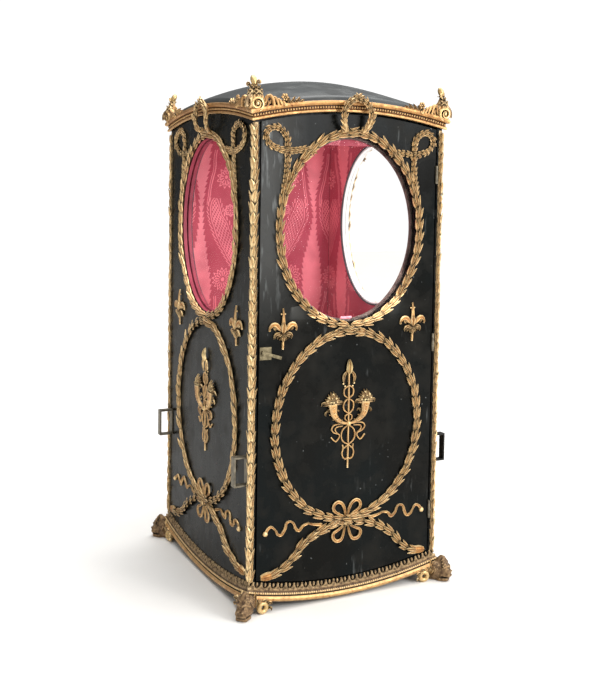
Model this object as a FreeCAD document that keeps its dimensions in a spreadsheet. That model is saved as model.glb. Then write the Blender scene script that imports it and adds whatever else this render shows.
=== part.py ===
import FreeCAD, Part
import math
import os
import re

from FreeCAD import Rotation, Vector

# Sedan chair, in millimetres. The floor is z = 0 and the origin is under the middle of the body.
# The door is in the front, towards -Y; +X is on the right of someone who looks at the door.
# Three bodies move against each other: the cabin, its front door and its lifting roof.

os.makedirs("parts", exist_ok=True)
doc = FreeCAD.newDocument("sedan_chair")

SIZES = (
    # name, millimetres, what it is
    ("body_width", 694, "outside of the walls, across"),
    ("body_depth", 763, "outside of the walls, front to back"),
    ("wall_thickness", 30, "panel, leather and lining together"),
    ("post_face", 18, "front post that shows beside the door"),
    ("door_gap", 5, "clear space round the door and behind the cornice"),
    ("door_swing", 1, "more clear space at the door's free edge, for its swing"),
    ("head_gap", 7, "clear space between the door and the cornice"),
    ("stop_depth", 25, "rebate behind the door that it closes towards"),
    ("sill_top", 104, "top of the base at the corners"),
    ("base_low", 48, "underside of the base moulding at the corners"),
    ("base_sag", 40, "how far the base dips in the middle of a face"),
    ("base_projection", 22, "base moulding, out from the wall"),
    ("sill_setback", 8, "lower edge of a sill above that of its moulding"),
    ("floor_low", 44, "underside of the floor board"),
    ("floor_thickness", 18, "floor board"),
    ("eaves_low", 1554, "lower edge of the cornice at the corners"),
    ("eaves_height", 36, "cornice"),
    ("eaves_rise", 40, "how far the cornice arches in the middle of a face"),
    ("eaves_projection", 20, "cornice, out from the wall"),
    ("eaves_bearing", 26, "cornice, in over the wall"),
    ("seat_height", 1570, "top of the walls at the corners, where the roof rests"),
    ("roof_joint", 0.6, "roof above the walls when it is shut"),
    ("roof_overlap", 10, "roof cover beyond the wall"),
    ("roof_thickness", 12, "boards and leather of the roof"),
    ("roof_crown", 40, "extra height of the middle of the roof"),
    ("head_low", 1497, "underside of the rail inside the door head"),
    ("window_width", 493, "window opening"),
    ("window_height", 597.5, "window opening"),
    ("window_head", 39, "top of a window below the cornice's lower edge at the corners"),
    ("glass_setback", 14, "outside of the glass behind the outside of the wall"),
    ("glass_thickness", 4, "window glass"),
    ("rebate_width", 10, "rebate round the window that takes the glass"),
    ("rebate_clearance", 0.5, "glass and bead inside their rebate"),
    ("bead_lip", 6, "bead that shows inside the opening"),
    ("garland_width", 26, "carved garland"),
    ("garland_depth", 14, "carved garland, out from the wall"),
    ("lower_width", 560, "outside of the lower oval"),
    ("lower_height", 647, "outside of the lower oval"),
    ("oval_lap", 7.5, "how far the lower oval goes over the upper one"),
    ("wreath_diameter", 115, "outside of the wreath over a window"),
    ("wreath_lift", 29, "middle of the wreath above the cornice's lower edge at the corners"),
    ("wreath_depth", 12, "wreath"),
    ("loop_reach", 50, "pole bracket, out from the wall"),
    ("loop_height", 95, "pole bracket"),
    ("loop_width", 26, "pole bracket, along the pole"),
    ("loop_strap", 5, "iron of the pole bracket"),
    ("loop_centre", 457, "middle of the pole brackets"),
    ("loop_inset", 25, "middle of a pole bracket from the corner of the body"),
    ("bench_depth", 400, "seat board, from the back wall"),
    ("bench_height", 390, "top of the seat board"),
    ("bench_thickness", 18, "seat board and its front"),
    ("cushion_thickness", 65, "seat cushion"),
    ("cushion_overhang", 8, "cushion in front of the seat board"),
    ("cushion_clearance", 5, "cushion to the walls"),
    ("soft_gap", 0.3, "cushion above its board"),
    ("foot_reach", 41, "foot, out from the walls"),
    ("snout_radius", 24, "round end of a foot"),
    ("pad_radius", 20, "part of a foot that stands on the floor"),
    ("foot_shoulder", 38, "top of a foot outside the walls"),
    ("volute_radius", 16, "scroll on each side of a foot"),
    ("volute_centre", 23, "middle of the scroll above the floor"),
    ("volute_inset", 38, "middle of the scroll from the corner"),
    ("volute_reach", 26, "scroll, out from the wall"),
    ("finial_height", 100, "corner finial above the cornice"),
    ("finial_stem", 11, "radius of the finial's stem"),
    ("finial_bud", 14, "radius of the finial's bud"),
    ("scroll_radius", 26, "scroll at the foot of a finial"),
    ("scroll_width", 20, "scroll at the foot of a finial"),
    ("scroll_out", 14, "middle of the scroll beyond the wall, each way"),
    ("scroll_lift", 15, "middle of the scroll above the cornice"),
    ("finial_clearance", 1, "notch in the roof round the stem of a finial"),
    ("knuckle_radius", 4, "hinge barrel"),
    ("knuckle_length", 20, "one of the three knuckles of a hinge"),
    ("pin_radius", 1.7, "hinge pin"),
    ("pin_clearance", 0.2, "hinge pin in its knuckle"),
    ("knuckle_gap", 0.4, "between the knuckles of a hinge"),
    ("leaf_thickness", 1.5, "hinge leaf"),
    ("lid_hinge_place", 230, "roof hinge from the middle"),
    ("lid_axis_height", 1562, "roof hinge pin"),
    ("latch_height", 830, "door latch"),
    ("latch_plate", 40, "side of the latch plate"),
    ("latch_lever", 70, "length of the latch lever"),
    ("latch_slope", 18, "degrees by which the latch lever hangs down"),
)

sheet = doc.addObject("Spreadsheet::Sheet", "Sizes")
for row, (name, millimetres, meaning) in enumerate(SIZES, 1):
    sheet.set(f"A{row}", name)
    sheet.set(f"B{row}", str(millimetres))
    sheet.set(f"C{row}", meaning)
    sheet.setAlias(f"B{row}", name)
doc.recompute()

X, Y, Z = Vector(1, 0, 0), Vector(0, 1, 0), Vector(0, 0, 1)
PIECES = []     # every exported piece: name, object


def size(name):
    """Number that a cell of the sheet holds."""
    return float(sheet.get(name))


def bound(text):
    """Expression with its size names written as cells of the sheet."""
    return re.sub(r"[a-z]+(?:_[a-z]+)+", lambda found: "Sizes." + found.group(0), str(text))


def span(sign, inner, outer):
    """Low and high expression of a stretch on the + or - side of the middle."""
    return (inner, outer) if sign > 0 else (f"-({outer})", f"-({inner})")


def place(piece, base, rotation=Rotation()):
    """Turn a piece, and bind its base to three expressions."""
    piece.Placement = FreeCAD.Placement(Vector(), rotation)
    for axis, expression in zip("xyz", base):
        piece.setExpression(f"Placement.Base.{axis}", bound(expression))
    return piece


def box(name, x, y, z):
    """Box between a low and a high expression on each axis."""
    piece = doc.addObject("Part::Box", name)
    for side, (low, high) in zip(("Length", "Width", "Height"), (x, y, z)):
        piece.setExpression(side, bound(f"({high}) - ({low})"))
    return place(piece, (x[0], y[0], z[0]))


def cylinder(name, radius, length, base, axis):
    """Cylinder from base along axis."""
    piece = doc.addObject("Part::Cylinder", name)
    piece.setExpression("Radius", bound(radius))
    piece.setExpression("Height", bound(length))
    return place(piece, base, Rotation(Z, axis))


def sphere(name, radius, base):
    """Ball round base."""
    piece = doc.addObject("Part::Sphere", name)
    piece.setExpression("Radius", bound(radius))
    return place(piece, base)


def join(name, pieces):
    """One solid of several that touch or overlap."""
    fused = doc.addObject("Part::MultiFuse", name)
    fused.Shapes = pieces
    return fused


def cut(name, base, tools):
    """Base without the tools."""
    for step, tool in enumerate(tools, 1):
        result = doc.addObject("Part::Cut", name if step == len(tools) else f"{name}_cut_{step}")
        result.Base = base
        result.Tool = tool
        base = result
    return base


def shared(name, pieces):
    """What the pieces have in common."""
    common = doc.addObject("Part::MultiCommon", name)
    common.Shapes = pieces
    return common


def group(name, pieces):
    """Like pieces that don't touch, in one node."""
    compound = doc.addObject("Part::Compound", name)
    compound.Links = pieces
    return compound


def feature(name, shape):
    """Piece whose shape is worked out from the sheet."""
    piece = doc.addObject("Part::Feature", name)
    piece.Shape = shape
    return piece


def export(name, piece):
    """Name the file that a piece is written to."""
    piece.Label = name
    PIECES.append((name, piece))
    return piece


# ---- lines that the walls, the base and the cornice share ----

half_width = "body_width / 2"
half_depth = "body_depth / 2"
inner_width = "(body_width / 2 - wall_thickness)"
inner_depth = "(body_depth / 2 - wall_thickness)"
stop_front = "(body_depth / 2 - wall_thickness - door_gap)"      # behind the door
stop_back = "(body_depth / 2 - wall_thickness - door_gap - stop_depth)"
door_half = "(body_width / 2 - post_face - door_gap)"              # hinge side
door_free = "(body_width / 2 - post_face - door_gap - door_swing)"
window_centre = "(eaves_low - window_head - window_height / 2)"
lower_centre = (
    "(eaves_low - window_head - window_height - garland_width + oval_lap - lower_height / 2)")
wreath_centre = "(eaves_low + wreath_lift)"
FACES = (
    # the face's half length, half the body the other way, and the direction the arch looks along
    ("across", half_width, half_depth, Y),
    ("along", half_depth, half_width, X),
)


def arch_cylinder(name, direction, lift, level="eaves_low", rise="eaves_rise", up=True):
    """Cylinder whose surface is an arch (up) or a dip over the faces that lie in one direction.

    The lower edge of the cornice or of the base runs through level at the corners of the body and
    stands or hangs by rise in the middle. The cylinder has the same centre and lies lift above it.
    """
    half, other, axis = {face[0]: face[1:] for face in FACES}[direction]
    radius = f"((({half}) ^ 2 + ({rise}) ^ 2) / (2 * {rise}))"
    centre = f"{level} + {rise} - {radius}" if up else f"{level} - {rise} + {radius}"
    start = f"-({other})"
    base = (0, start, centre) if axis == Y else (start, 0, centre)
    sign = "+" if up else "-"
    return cylinder(name, f"{radius} {sign} ({lift})", f"2 * ({other})", base, axis)


def dip_cylinder(name, direction, lift):
    """The same for the base, which dips."""
    return arch_cylinder(name, direction, lift, "base_low", "base_sag", False)


wall_arch = {
    direction: arch_cylinder(f"wall_arch_{direction}", direction, "seat_height - eaves_low")
    for direction in ("across", "along")
}
sill_dip = {
    direction: dip_cylinder(f"sill_dip_{direction}", direction, "sill_setback")
    for direction in ("across", "along")
}
eaves_arch = arch_cylinder("eaves_arch", "across", 0)
door_top_arch = arch_cylinder("door_top_arch", "across", "-head_gap")
sill_top_dip = dip_cylinder("sill_top_dip", "across", "sill_top - base_low")
door_low_dip = dip_cylinder("door_low_dip", "across", "sill_top - base_low + door_gap")

ENDS = (("front", -1), ("rear", 1))
SIDES = (("left", -1), ("right", 1))

# ---- posts, sills and floor ----

for end, y_sign in ENDS:
    for side, x_sign in SIDES:
        name = f"corner_post_{end}_{side}"
        height = ("base_low", "seat_height + eaves_rise + roof_overlap")
        if end == "front":
            shaft = join(f"{name}_shaft", [
                box(f"{name}_face", span(x_sign, f"{half_width} - post_face", half_width),
                    span(y_sign, stop_front, half_depth), height),
                box(f"{name}_stop", span(x_sign, inner_width, half_width),
                    span(y_sign, stop_back, stop_front), height),
            ])
        else:
            shaft = box(f"{name}_shaft", span(x_sign, inner_width, half_width),
                        span(y_sign, inner_depth, half_depth), height)
        export(name, shared(name, [shaft, wall_arch["across"], wall_arch["along"]]))

sill_height = ("base_low - base_sag", "sill_top")
front_sill = shared("sill_front_board", [
    box("sill_front_blank", (f"post_face - {half_width}", f"{half_width} - post_face"),
        (f"-({half_depth})", f"-{inner_depth}"), sill_height),
    sill_dip["across"],
])
export("sill_front", cut("sill_front", front_sill, [sill_top_dip]))
export("sill_back", shared("sill_back", [
    box("sill_back_blank", (f"-{inner_width}", inner_width), (inner_depth, half_depth), sill_height),
    sill_dip["across"],
]))
for side, x_sign in SIDES:
    export(f"sill_{side}", shared(f"sill_{side}", [
        box(f"sill_{side}_blank", span(x_sign, inner_width, half_width),
            (f"-{stop_back}", inner_depth), sill_height),
        sill_dip["along"],
    ]))
export("floor_board", box(
    "floor_board", (f"-{inner_width}", inner_width), (f"-{inner_depth}", inner_depth),
    ("floor_low", "floor_low + floor_thickness")))

# ---- walls with their windows ----

# local x upwards, so that an oval's long radius stands
ACROSS_TURN = Rotation(Z, X, Y, "XYZ")
ALONG_TURN = Rotation(Z, -Y, X, "XYZ")


def oval(name, width, height, centre, low, high, facing):
    """Upright oval prism that looks along Y or X, between two planes."""
    outline = doc.addObject("Part::Ellipse", f"{name}_outline")
    outline.setExpression("MajorRadius", bound(f"({height}) / 2"))
    outline.setExpression("MinorRadius", bound(f"({width}) / 2"))
    base = (0, low, centre) if facing == Y else (low, 0, centre)
    place(outline, base, ACROSS_TURN if facing == Y else ALONG_TURN)
    prism = doc.addObject("Part::Extrusion", name)
    prism.Base = outline
    prism.DirMode = "Normal"
    prism.Solid = True
    prism.setExpression("LengthFwd", bound(f"({high}) - ({low})"))
    return prism


def glazed(name, blank, face, inside, sign, facing):
    """Cut a rebated oval window in a wall; returns the wall, its glass and its bead."""
    glass_out = f"{face} - glass_setback"
    glass_in = f"{face} - glass_setback - glass_thickness"
    wide, high = "window_width", "window_height"
    rebate = "2 * rebate_width"
    fitted = "2 * rebate_width - 2 * rebate_clearance"
    lip = "2 * bead_lip"
    centre = window_centre
    opening = oval(f"{name}_opening", wide, high, centre, *span(sign, inside, face), facing)
    recess = oval(f"{name}_recess", f"{wide} + {rebate}", f"{high} + {rebate}", centre,
                  *span(sign, inside, glass_out), facing)
    wall = cut(f"{name}_wall", blank, [opening, recess])
    glass = oval(f"{name}_pane", f"{wide} + {fitted}", f"{high} + {fitted}", centre,
                 *span(sign, glass_in, glass_out), facing)
    bead = cut(f"{name}_ring", oval(
        f"{name}_ring_outside", f"{wide} + {fitted}", f"{high} + {fitted}", centre,
        *span(sign, inside, glass_in), facing,
    ), [oval(f"{name}_ring_inside", f"{wide} - {lip}", f"{high} - {lip}", centre,
             *span(sign, inside, glass_in), facing)])
    return wall, glass, bead


wall_height = ("sill_top", "seat_height + eaves_rise + roof_overlap")
for side, x_sign in SIDES:
    blank = shared(f"side_blank_{side}", [
        box(f"side_board_{side}", span(x_sign, inner_width, half_width),
            (f"-{stop_back}", inner_depth), wall_height),
        wall_arch["along"],
    ])
    wall, glass, bead = glazed(f"side_{side}", blank, half_width, inner_width, x_sign, X)
    export(f"side_panel_{side}", wall)
    export(f"side_window_glass_{side}", glass)
    export(f"side_window_bead_{side}", bead)

export("back_panel", shared("back_panel", [
    box("back_board", (f"-{inner_width}", inner_width), (inner_depth, half_depth), wall_height),
    wall_arch["across"],
]))

# The door head is a strip over the door and a deeper rail behind it, inside the cabin.
head_strip = cut("head_strip", box(
    "head_strip_blank", (f"post_face - {half_width}", f"{half_width} - post_face"),
    (f"-({half_depth})", f"-{stop_front}"), ("eaves_low", "seat_height + eaves_rise + roof_overlap"),
), [eaves_arch])
head_rail = box("head_rail", (f"-{inner_width}", inner_width), (f"-{stop_front}", f"-{stop_back}"),
                ("head_low", "seat_height + eaves_rise + roof_overlap"))
head_blank = join("head_blank", [head_strip, head_rail])
export("door_head", shared("door_head", [head_blank, wall_arch["across"]]))

# ---- door ----

door_blank = shared("door_blank", [
    box("door_board", (f"-{door_free}", door_half), (f"-({half_depth})", f"-{inner_depth}"),
        ("sill_top - base_sag", "eaves_low + eaves_rise")),
    door_top_arch,
    door_low_dip,
])
door, door_glass, door_bead = glazed("door", door_blank, half_depth, inner_depth, -1, Y)
export("door_panel", door)
export("door_window_glass", door_glass)
export("door_window_bead", door_bead)

# ---- garlands: two ovals on each face, and a wreath that stands in front of the cornice ----
# The back has no wreath, because the cornice swings back there when the roof is lifted.


def garland(name, face, sign, facing, wreathed=True):
    """Ovals and wreath of one face of the body."""
    rings = []
    outside = f"{face} + garland_depth"
    for part, wide, high, centre in (
        ("upper", "window_width + 2 * garland_width", "window_height + 2 * garland_width",
         window_centre),
        ("lower", "lower_width", "lower_height", lower_centre),
    ):
        inner_wide = f"{wide} - 2 * garland_width"
        inner_high = f"{high} - 2 * garland_width"
        rings.append(cut(f"{name}_{part}", oval(
            f"{name}_{part}_outside", wide, high, centre, *span(sign, face, outside), facing,
        ), [oval(f"{name}_{part}_inside", inner_wide, inner_high, centre,
                 *span(sign, face, outside), facing)]))
    if not wreathed:
        return export(name, join(name, rings))
    wreath_back = f"{face} + eaves_projection + door_gap"
    wreath_front = f"{wreath_back} + wreath_depth"
    radius = "wreath_diameter / 2"
    hole = "wreath_diameter / 2 - garland_width + 4"
    discs = []
    for part, disc_radius, back, height in (
        ("wreath", radius, wreath_back, wreath_centre),
        ("wreath_hole", hole, wreath_back, wreath_centre),
        # the stud that carries the wreath stands on the top of the upper oval
        ("stud", "garland_width / 3", face, "eaves_low - window_head + garland_width / 2"),
    ):
        low, high = span(sign, back, wreath_front)
        base = (0, low, height) if facing == Y else (low, 0, height)
        discs.append(cylinder(f"{name}_{part}", disc_radius, f"({high}) - ({low})", base, facing))
    wreath, hole_disc, stud = discs
    ring = cut(f"{name}_wreath_ring", wreath, [hole_disc])
    return export(name, join(name, [*rings, ring, stud]))


garland("garland_door", half_depth, -1, Y)
garland("garland_back", half_depth, 1, Y, wreathed=False)
garland("garland_left", half_width, -1, X)
garland("garland_right", half_width, 1, X)

# ---- pole brackets ----

for end, y_sign in ENDS:
    for side, x_sign in SIDES:
        name = f"pole_bracket_{end}_{side}"
        along = span(y_sign, f"{half_depth} - loop_inset - loop_width / 2",
                     f"{half_depth} - loop_inset + loop_width / 2")
        frame = box(f"{name}_frame", span(x_sign, half_width, f"{half_width} + loop_reach"), along,
                    ("loop_centre - loop_height / 2", "loop_centre + loop_height / 2"))
        space = box(f"{name}_space", span(
            x_sign, f"{half_width} + loop_strap", f"{half_width} + loop_reach - loop_strap"), along,
            ("loop_centre - loop_height / 2 + loop_strap",
             "loop_centre + loop_height / 2 - loop_strap"))
        export(name, cut(name, frame, [space]))

# ---- bench inside ----

bench_front = f"{inner_depth} - bench_depth"
export("seat_board", box("seat_board", (f"-{inner_width}", inner_width), (bench_front, inner_depth),
                         ("bench_height - bench_thickness", "bench_height")))
export("seat_front", box("seat_front", (f"-{inner_width}", inner_width),
                         (bench_front, f"{bench_front} + bench_thickness"),
                         ("floor_low + floor_thickness", "bench_height - bench_thickness")))
export("seat_cushion", box(
    "seat_cushion",
    (f"cushion_clearance - {inner_width}", f"{inner_width} - cushion_clearance"),
    (f"{bench_front} - cushion_overhang", f"{inner_depth} - cushion_clearance"),
    ("bench_height + soft_gap", "bench_height + soft_gap + cushion_thickness")))

# ---- base moulding and cornice: one section, turned along each arch and mitred ----


def moulding(section, half, wall, radius_centre, reach, inset):
    """Moulding on the -Y face: its section, as a face at x = 0, turned about the arch's centre.

    half is half the length of the face, wall the distance of the face from the middle, reach how
    far the section stands out and inset how far it goes in over the wall.
    """
    far = half + reach
    low = min(abs(vertex.Z - radius_centre) for vertex in section.Vertexes)
    swing = math.degrees(math.asin(far / low)) + 0.5
    centre = Vector(0, 0, radius_centre)
    section = section.copy()
    section.rotate(centre, Y, -swing)
    turned = section.revolve(centre, Y, 2 * swing)
    top = turned.BoundBox.ZMax + 1
    bottom = turned.BoundBox.ZMin - 1
    mitre = Part.makePolygon([
        Vector(inset - half, inset - wall, bottom), Vector(half - inset, inset - wall, bottom),
        Vector(far, -wall - reach, bottom), Vector(-far, -wall - reach, bottom),
        Vector(inset - half, inset - wall, bottom),
    ])
    return turned.common(Part.Face(mitre).extrude(Vector(0, 0, top - bottom))).Solids[0]


def section_face(outline, wall, level):
    """Face at x = 0 from (out, up) points; a middle point given as a third pair makes an arc."""
    def point(out, up):
        return Vector(0, -wall - out, level + up)

    edges = []
    for start, via, end in outline:
        if via:
            edges.append(Part.Arc(point(*start), point(*via), point(*end)).toShape())
        else:
            edges.append(Part.makeLine(point(*start), point(*end)))
    return Part.Face(Part.Wire(edges))


TURNS = (
    # face, turn about Z that brings it from the front, and which half sizes it uses
    ("front", 0, "body_width", "body_depth"),
    ("back", 180, "body_width", "body_depth"),
    ("left", -90, "body_depth", "body_width"),
    ("right", 90, "body_depth", "body_width"),
)


def closed(points):
    """Outline of (start, via, end) runs through (out, up) points, with arcs through 'via' points."""
    runs = []
    for index, (kind, *here) in enumerate(points):
        if kind == "via":
            continue
        following = points[(index + 1) % len(points)]
        via = None
        if following[0] == "via":
            via = tuple(following[1:])
            following = points[(index + 2) % len(points)]
        runs.append((tuple(here), via, tuple(following[1:])))
    return runs


reach = size("base_projection")
base_height = size("sill_top") - size("base_low")
torus = reach - 2
BASE_OUTLINE = closed((
    # kind, out from the wall, up from the lower edge
    ("to", 0, 0),
    ("to", torus / 2, 0),
    ("via", reach, torus / 2),
    ("to", torus / 2, torus),
    ("to", reach - 8, torus + 4),
    ("to", reach - 8, torus + 9),
    ("to", reach - 14, torus + 14),
    ("to", reach - 16, base_height),
    ("to", 0, base_height),
))

eaves = size("eaves_projection")
skirt = size("door_gap")
bearing = size("eaves_bearing")
eaves_height = size("eaves_height")
rest = size("seat_height") - size("eaves_low") + size("roof_joint")
EAVES_OUTLINE = closed((
    # kind, out from the wall, up from the lower edge
    ("to", skirt, 0),
    ("to", eaves - 8, 0),
    ("to", eaves - 8, 6),
    ("to", eaves - 6, 9),
    ("via", eaves - 3, eaves_height / 2),
    ("to", eaves, eaves_height - 8),
    ("to", eaves, eaves_height),
    ("to", -bearing, eaves_height),
    ("to", -bearing, rest),
    ("to", skirt, rest),
))

mouldings = {}
for face, turn, length_name, distance_name in TURNS:
    half = size(length_name) / 2
    wall = size(distance_name) / 2
    for name, outline, level, rise, out, inset in (
        ("base_moulding", BASE_OUTLINE, size("base_low"), -size("base_sag"), reach, 0),
        ("cornice", EAVES_OUTLINE, size("eaves_low"), size("eaves_rise"), eaves, bearing),
    ):
        radius = (half ** 2 + rise ** 2) / (2 * rise)
        solid = moulding(section_face(outline, wall, level + rise), half, wall,
                         level + rise - radius, out, inset)
        solid.rotate(Vector(), Z, turn)
        mouldings[name, face] = export(f"{name}_{face}", feature(f"{name}_{face}", solid))

# ---- feet, shaped to the moulding that they carry ----

for end, y_sign in ENDS:
    for side, x_sign in SIDES:
        name = f"foot_{end}_{side}"
        wide, deep = f"{x_sign} * {half_width}", f"{y_sign} * {half_depth}"
        snout = "(foot_reach - snout_radius)"
        snout_at = (f"{wide} + {x_sign} * {snout}", f"{deep} + {y_sign} * {snout}")
        across_low, across_high = span(y_sign, half_depth, f"{half_depth} + volute_reach")
        along_low, along_high = span(x_sign, half_width, f"{half_width} + volute_reach")
        whole = join(f"{name}_whole", [
            box(f"{name}_seat", span(x_sign, inner_width, half_width),
                span(y_sign, inner_depth, half_depth), (0, "base_low")),
            box(f"{name}_shoulder", span(x_sign, inner_width, f"{half_width} + {snout}"),
                span(y_sign, inner_depth, f"{half_depth} + {snout}"), (0, "foot_shoulder")),
            cylinder(f"{name}_pad", "pad_radius", "foot_shoulder / 2", (*snout_at, 0), Z),
            sphere(f"{name}_snout", "snout_radius", (*snout_at, "snout_radius")),
            cylinder(f"{name}_front_volute", "volute_radius", f"({across_high}) - ({across_low})",
                     (f"{wide} - {x_sign} * volute_inset", across_low, "volute_centre"), Y),
            cylinder(f"{name}_side_volute", "volute_radius", f"({along_high}) - ({along_low})",
                     (along_low, f"{deep} - {y_sign} * volute_inset", "volute_centre"), X),
        ])
        across = mouldings["base_moulding", "front" if end == "front" else "back"]
        export(name, cut(name, whole, [across, mouldings["base_moulding", side]]))

# ---- roof ----


def crowned_face(half_x, half_y, level, rise, crown):
    """Surface over a rectangle: every edge arches by rise, and the middle stands crown higher."""
    surface = Part.BezierSurface()
    surface.increase(2, 2)
    for row, y_place in enumerate((-1, 0, 1), 1):
        for column, x_place in enumerate((-1, 0, 1), 1):
            lift = 2 * rise * ((x_place == 0) + (y_place == 0))
            if x_place == 0 and y_place == 0:
                lift += 4 * crown
            surface.setPole(row, column, Vector(x_place * half_x, y_place * half_y, level + lift))
    return surface.toShape()


roof_half_x = size("body_width") / 2 + size("roof_overlap")
roof_half_y = size("body_depth") / 2 + size("roof_overlap")
roof_level = size("eaves_low") + size("eaves_height")
under = crowned_face(roof_half_x, roof_half_y, roof_level, size("eaves_rise"), size("roof_crown"))
over = under.copy()
over.translate(Vector(0, 0, size("roof_thickness")))
rims = [
    Part.makeRuledSurface(lower, upper) for lower, upper in zip(under.Edges, over.Edges)
]
shell = Part.Shell([under, over, *rims])
shell.sewShape()
roof = Part.Solid(shell)
if roof.Volume < 0:
    roof.reverse()
# a notch in each corner lets a finial stand on the cornice
notch_x = size("body_width") / 2 - size("finial_stem") - size("finial_clearance")
notch_y = size("body_depth") / 2 - size("finial_stem") - size("finial_clearance")
for _, y_sign in ENDS:
    for _, x_sign in SIDES:
        corner = Part.makePlane(
            2 * size("roof_overlap") + roof_half_x - notch_x,
            2 * size("roof_overlap") + roof_half_y - notch_y)
        if x_sign < 0:
            corner = corner.mirror(Vector(), X)
        if y_sign < 0:
            corner = corner.mirror(Vector(), Y)
        corner.translate(Vector(x_sign * notch_x, y_sign * notch_y, roof_level - 1))
        roof = roof.cut(corner.extrude(Vector(0, 0, 2 * size("roof_thickness") + eaves_height)))
export("roof_shell", feature("roof_shell", roof.Solids[0]))

for end, y_sign in ENDS:
    for side, x_sign in SIDES:
        name = f"roof_finial_{end}_{side}"
        corner = (f"{x_sign} * {half_width}", f"{y_sign} * {half_depth}")
        top = "eaves_low + eaves_height"
        diagonal = Vector(x_sign, y_sign, 0).normalize()
        sideways = diagonal.cross(Z)
        disc = cylinder(f"{name}_disc", "scroll_radius", "scroll_width", (
            f"{corner[0]} + {x_sign} * scroll_out - {sideways.x:.6f} * scroll_width / 2",
            f"{corner[1]} + {y_sign} * scroll_out - {sideways.y:.6f} * scroll_width / 2",
            f"{top} + scroll_lift"), sideways)
        bud_height = f"{top} + finial_height - 2 * finial_bud"
        tip = doc.addObject("Part::Cone", f"{name}_tip")
        tip.setExpression("Radius1", bound("finial_bud"))
        tip.Radius2 = 1
        tip.setExpression("Height", bound("2 * finial_bud"))
        place(tip, (*corner, bud_height))
        whole = join(f"{name}_whole", [
            disc,
            cylinder(f"{name}_stem", "finial_stem", f"{bud_height} - ({top})", (*corner, top), Z),
            sphere(f"{name}_bud", "finial_bud", (*corner, bud_height)),
            tip,
        ])
        across = mouldings["cornice", "front" if end == "front" else "back"]
        export(name, cut(name, whole, [across, mouldings["cornice", side]]))

# ---- hinges and latch ----

door_axis = (f"({half_width} - post_face - door_gap / 2)", f"-({half_depth} + knuckle_radius)")
DOOR_HINGES = (250, 830, 1400)


def door_hinge(number, height):
    """Leaf with a pin on the post, and leaf with a bored knuckle on the door."""
    low = f"{height} - 1.5 * knuckle_length"
    high = f"{height} + 1.5 * knuckle_length"
    leaf_back = f"-{inner_depth}"
    rim = f"-({half_depth})"
    middle = (f"{height} - knuckle_length / 2", f"{height} + knuckle_length / 2")
    inner = (f"{middle[0]} + knuckle_gap", f"{middle[1]} - knuckle_gap")
    post_side = f"{half_width} - post_face"
    tab = (door_axis[1], rim)

    def name(part):
        return f"door_hinge_{number}_{part}"

    leaf = (f"{post_side} - leaf_thickness", post_side)
    fixed = [box(name("post_leaf"), leaf, (rim, leaf_back), (low, high)),
             cylinder(name("pin"), "pin_radius", "3 * knuckle_length", (*door_axis, low), Z)]
    for part, (bottom, top) in (("low", (low, middle[0])), ("high", (middle[1], high))):
        fixed.append(cylinder(name(f"knuckle_{part}"), "knuckle_radius", f"{top} - ({bottom})",
                              (*door_axis, bottom), Z))
        fixed.append(box(name(f"tab_{part}"), leaf, tab, (bottom, top)))
    door_leaf = (door_half, f"{door_half} + leaf_thickness")
    turning = join(name("door_leaf_blank"), [
        box(name("door_leaf"), door_leaf, (rim, leaf_back), (low, high)),
        box(name("door_tab"), door_leaf, tab, inner),
        cylinder(name("knuckle"), "knuckle_radius", f"{inner[1]} - ({inner[0]})",
                 (*door_axis, inner[0]), Z),
    ])
    bore = cylinder(name("bore"), "pin_radius + pin_clearance", "3 * knuckle_length",
                    (*door_axis, low), Z)
    return join(name("fixed"), fixed), cut(name("turning"), turning, [bore])


fixed, turning = zip(*(door_hinge(number, height) for number, height in enumerate(DOOR_HINGES, 1)))
export("door_hinge_pins", group("door_hinge_pins", list(fixed)))
export("door_hinge_leaves", group("door_hinge_leaves", list(turning)))

lid_axis_y = f"({half_depth} + eaves_projection + knuckle_radius)"


def lid_hinge(side, x_sign):
    """Arm with a pin on the back wall, and leaf with a bored knuckle on the cornice."""
    centre = f"{x_sign} * lid_hinge_place"
    ends = (f"{centre} - 1.5 * knuckle_length", f"{centre} + 1.5 * knuckle_length")
    middle = (f"{centre} - knuckle_length / 2", f"{centre} + knuckle_length / 2")
    inner = (f"{middle[0]} + knuckle_gap", f"{middle[1]} - knuckle_gap")
    outside = f"{half_depth} + eaves_projection"

    def name(part):
        return f"lid_hinge_{side}_{part}"

    def barrel(part, radius, low, high):
        return cylinder(name(part), radius, f"{high} - ({low})", (low, lid_axis_y, "lid_axis_height"),
                        X)

    fixed = [box(name("wall_plate"), ends, (half_depth, f"{half_depth} + 2 * leaf_thickness"),
                 ("lid_axis_height - 10 * knuckle_radius", "lid_axis_height")),
             barrel("pin", "pin_radius", *ends)]
    for part, stretch in (("low", (ends[0], middle[0])), ("high", (middle[1], ends[1]))):
        fixed.append(barrel(f"knuckle_{part}", "knuckle_radius", *stretch))
        fixed.append(box(name(f"arm_{part}"), stretch, (half_depth, lid_axis_y),
                         ("lid_axis_height - knuckle_radius", "lid_axis_height")))
    turning = join(name("leaf_blank"), [
        box(name("leaf"), inner, (outside, f"{outside} + 2 * leaf_thickness"),
            ("lid_axis_height", "lid_axis_height + 9 * knuckle_radius")),
        barrel("knuckle", "knuckle_radius", *inner),
    ])
    bore = barrel("bore", "pin_radius + pin_clearance", *ends)
    return join(name("fixed"), fixed), cut(name("turning"), turning, [bore])


fixed, turning = zip(*(lid_hinge(side, x_sign) for side, x_sign in SIDES))
export("roof_hinge_pins", group("roof_hinge_pins", list(fixed)))
export("roof_hinge_leaves", group("roof_hinge_leaves", list(turning)))

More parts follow.
